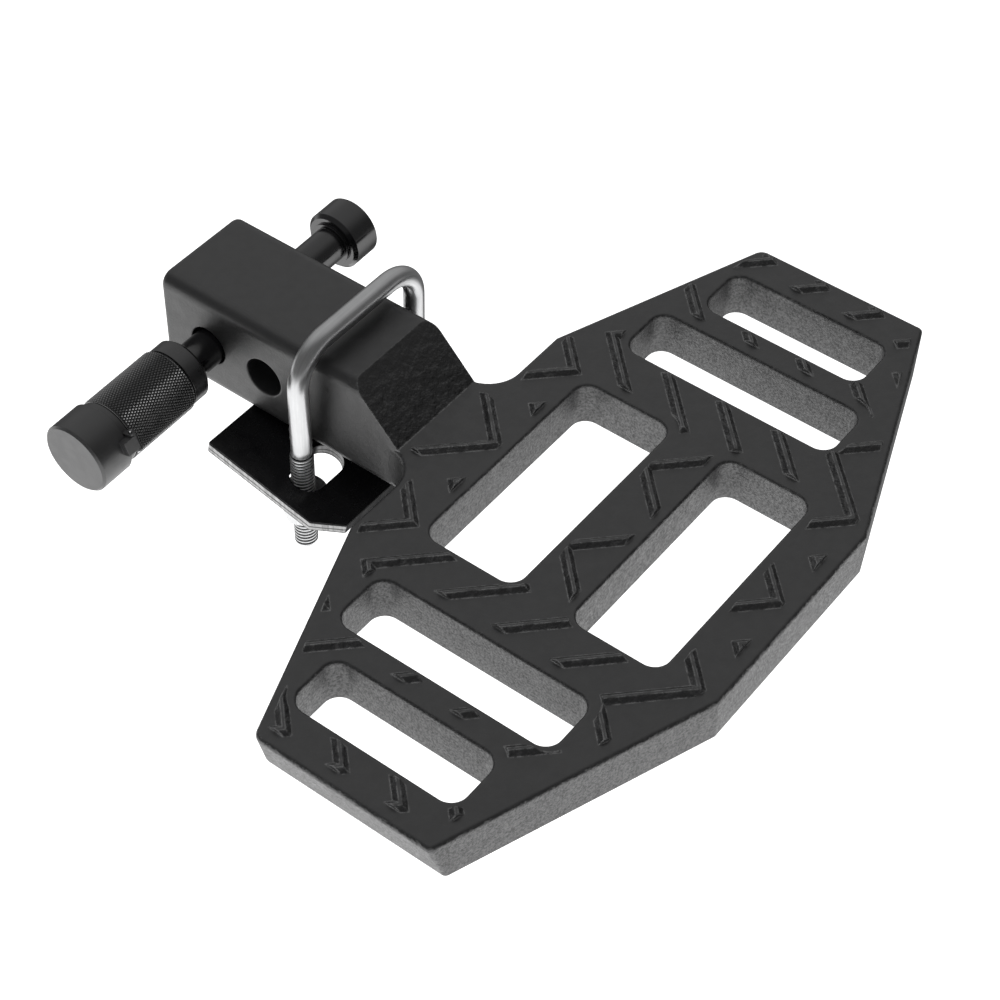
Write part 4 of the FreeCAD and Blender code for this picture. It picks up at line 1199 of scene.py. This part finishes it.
@dataclass
class Studio:
    """A plain pale studio: camera, soft lamps, white floor and a light tent."""

    eye: Triple = (-0.543214, -0.527763, 0.700469)
    turn_deg: Triple = (42.712583, -1.114814, -52.839806)
    lens_mm: float = 87.51016
    sensor_mm: float = 36.0
    clip_start: float = 10.0 * MM
    floor_level: float = -0.36
    floor_size: float = 6.0
    floor_shade: float = 0.9
    floor_roughness: float = 0.9
    floor_glow: float = 0.8
    tent_radius: float = 2.2
    tent_hub: float = 1.0 * MM
    tent_lift: float = 4.0 * MM
    tent_columns: int = 64
    table_rings: int = 8
    wall_rings: int = 16
    horizon: Pair = (-0.26, 0.08)
    dark_way: Triple = (0.906, 0.423, 0.0)
    dark_reach: Pair = (0.20, 0.52)
    back_way: Triple = (0.55, 0.40, 0.73)
    back_reach: Pair = (0.35, 0.92)
    sky_level: float = 0.13
    back_level: float = 0.46
    table_level: float = 1.52
    dark_level: float = 0.16
    air_level: float = 0.35
    aim: Triple = (0.0, -0.12, 0.0)
    lamps: tuple[Lamp, ...] = (Lamp("softbox_high", (-0.2, 0.6, 1.4), 13.0),
                               Lamp("softbox_left", (-1.35, -0.15, -0.05), 15.0))

    def camera(self) -> None:
        """Sets the camera at the photograph's place and angle."""
        data = bpy.data.cameras.new("photo_camera")
        data.lens = self.lens_mm
        data.sensor_width = self.sensor_mm
        data.clip_start = self.clip_start
        camera = bpy.data.objects.new("photo_camera", data)
        camera.location = self.eye
        camera.rotation_euler = [math.radians(angle) for angle in self.turn_deg]
        bpy.context.scene.collection.objects.link(camera)
        bpy.context.scene.camera = camera

    def air(self) -> None:
        """Fills the studio with air: white to the eye, softer as light."""
        world = bpy.data.worlds.new("studio_air")
        world.use_nodes = True
        tree = world.node_tree
        tree.nodes.clear()
        seen = seen_straight(tree)
        strength = tree.nodes.new("ShaderNodeMapRange")
        strength.inputs["To Min"].default_value = self.air_level
        strength.inputs["To Max"].default_value = 1.0
        tree.links.new(seen, strength.inputs["Value"])
        air = tree.nodes.new("ShaderNodeBackground")
        air.inputs["Color"].default_value = WHITE
        tree.links.new(strength.outputs["Result"], air.inputs["Strength"])
        output = tree.nodes.new("ShaderNodeOutputWorld")
        tree.links.new(air.outputs[0], output.inputs["Surface"])
        bpy.context.scene.world = world

    def floor(self) -> None:
        """Lays a pale floor that looks white and still takes a faint shadow."""
        half = self.floor_size / 2
        points = [Vector((x, y, self.floor_level))
                  for x, y in ((-half, -half), (half, -half), (half, half), (-half, half))]
        ground = MeshWork.piece("studio_floor", points, [(0, 1, 2, 3)], smooth=False)
        graph = Graph("floor_white")
        shade = self.floor_shade
        graph.shade("Base Color", (shade, shade, shade, 1.0))
        graph.shade("Roughness", self.floor_roughness)
        graph.glow(graph.math("MULTIPLY", seen_straight(graph.tree), self.floor_glow))
        MeshWork.dress(ground, graph.material)

    def tent_profile(self) -> list[Pair]:
        """Draws half of the tent's outline: its table, then its round wall.

        Returns:
            Corners as radius and height.
        """
        table = self.floor_level + self.tent_lift
        profile = [(self.tent_hub, table)]
        profile += [(self.tent_radius * step / self.table_rings, table)
                    for step in range(1, self.table_rings + 1)]
        for step in range(1, self.wall_rings + 1):
            rise = math.pi / 2 * step / self.wall_rings
            profile.append((max(self.tent_radius * math.cos(rise), self.tent_hub),
                            self.floor_level + self.tent_radius * math.sin(rise)))
        return profile

    def tent_cloth(self) -> bpy.types.Material:
        """Builds the tent's cloth: a bright table below with a dark side at the far right,
        and dim cloth above, paler high at the back.

        Returns:
            The material.
        """
        graph = Graph("tent_cloth")
        graph.shade("Base Color", (0.0, 0.0, 0.0, 1.0))
        graph.shade("Specular IOR Level", 0.0)
        below = graph.span(graph.toward(UP), self.horizon, ALL_TO_NONE)
        bright = graph.span(graph.toward(self.dark_way), self.dark_reach,
                            (self.table_level, self.dark_level))
        back = graph.span(graph.toward(self.back_way), self.back_reach,
                          (self.sky_level, self.back_level))
        above = graph.span(graph.toward(UP), self.horizon, NONE_TO_ALL)
        graph.glow(graph.math("ADD", graph.math("MULTIPLY", below, bright),
                              graph.math("MULTIPLY", above, back)))
        graph.material.cycles.emission_sampling = "NONE"
        return graph.material

    def tent(self) -> None:
        """Hangs the tent, which shows in gloss alone and lights nothing else."""
        profile = self.tent_profile()
        angles = [2 * math.pi * column / self.tent_columns
                  for column in range(self.tent_columns)]
        points = [Vector((radius * math.cos(angle), radius * math.sin(angle), height))
                  for radius, height in profile for angle in angles]
        cloth = MeshWork.piece("light_tent", points,
                               MeshWork.skin(len(profile), self.tent_columns))
        MeshWork.dress(cloth, self.tent_cloth())
        for sense in ("camera", "diffuse", "transmission", "volume_scatter", "shadow"):
            setattr(cloth, "visible_" + sense, False)

    def build(self) -> None:
        """Sets up the whole studio."""
        bpy.context.scene.view_settings.view_transform = "Standard"
        self.camera()
        self.air()
        self.floor()
        self.tent()
        for lamp in self.lamps:
            lamp.hang(self.aim)


@dataclass
class HitchStep:
    """The whole step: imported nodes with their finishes, and the finer pieces."""

    nodes: dict[str, bpy.types.Object]
    line: LockLine = field(default_factory=LockLine)

    def finishes(self) -> dict[str, bpy.types.Material]:
        """Builds every finish once.

        Returns:
            The finishes by a short name.
        """
        return {
            "casting": CastBlack().make(),
            "plate": SheetPaint().make(),
            "pin": Coating("pin_black", (0.005, 0.005, 0.0055), (0.14, 0.22)).make(),
            "lock": Coating("lock_black", (0.010, 0.010, 0.0105), (0.26, 0.34)).make(),
            "sleeve": Coating("sleeve_black", (0.008, 0.008, 0.0085), (0.20, 0.28),
                              edge_radius=0.05 * MM, ior=3.6, grooved=True).make(),
            "cap": Coating("cap_black", (0.013, 0.013, 0.0135), (0.34, 0.42)).make(),
            "rubber": Coating("seal_black", (0.012, 0.012, 0.012), (0.55, 0.7),
                              ior=1.5).make(),
            # The bolt's thread roots get a painted shade.
            "bolt": WorkedMetal("bolt_zinc", (0.68, 0.685, 0.69), (0.28, 0.33), (0.03, 1.0, 1.0),
                                streak_scale=1100.0, streak_depth=0.002 * MM,
                                along_uv=True, groove=(0.022, 0.022, 0.022)).make(),
            "zinc": WorkedMetal("nut_zinc", (0.70, 0.705, 0.71), (0.24, 0.34)).make(),
            "spring": WorkedMetal("spring_steel", (0.30, 0.30, 0.31), (0.3, 0.42)).make(),
            "bright": WorkedMetal("bright_steel", (0.70, 0.70, 0.71), (0.12, 0.2)).make(),
            "brass": WorkedMetal("plug_brass", (0.72, 0.56, 0.29), (0.22, 0.32)).make(),
        }

    def dress_nodes(self, finishes: dict[str, bpy.types.Material]) -> None:
        """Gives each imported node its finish.

        Args:
            finishes: The finishes by short name.
        """
        wear = {
            "casting": ["step_casting"],
            "plate": ["anti_rattle_plate"],
            "pin": ["hitch_pin"],
            "lock": ["lock_body"],
            "sleeve": ["lock_sleeve"],
            "cap": ["tether_ring", "dust_cap"],
            "rubber": ["pin_seal"],
            "zinc": ["u_bolt", "flat_washer_left", "flat_washer_right", "hex_nut_left",
                     "hex_nut_right"],
            "spring": ["spring_washer_left", "spring_washer_right", "sleeve_circlip",
                       "latch_spring"],
            "bright": ["latch_dog_upper", "latch_dog_lower", "plug_retaining_pin",
                       "cap_hinge_pin"],
            "brass": ["lock_plug"] + ["wafer_%d" % number for number in range(1, 6)],
        }
        for finish, names in wear.items():
            for name in names:
                MeshWork.dress(self.nodes[name], finishes[finish])
                LOG.info("%s wears %s", name, finish)

    def build(self) -> None:
        """Dresses the nodes and adds the finer pieces."""
        finishes = self.finishes()
        self.dress_nodes(finishes)
        for piece in (UBolt().build(finishes["bolt"]),
                      KnurledSleeve(self.line).build(finishes["sleeve"])):
            LOG.info("%s has %d faces", piece.name, len(piece.data.polygons))


def corners(bounds: tuple[Vector, Vector]) -> list[list[float]]:
    """A pair of corners as plain lists of numbers."""
    return [[float(value) for value in corner] for corner in bounds]


def main() -> None:
    """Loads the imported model, dresses it and sets up the studio."""
    logging.basicConfig(level=logging.INFO, format="%(name)s: %(message)s")
    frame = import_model()
    HitchStep(frame["nodes"]).build()
    Studio().build()


if __name__ == "__main__":
    main()
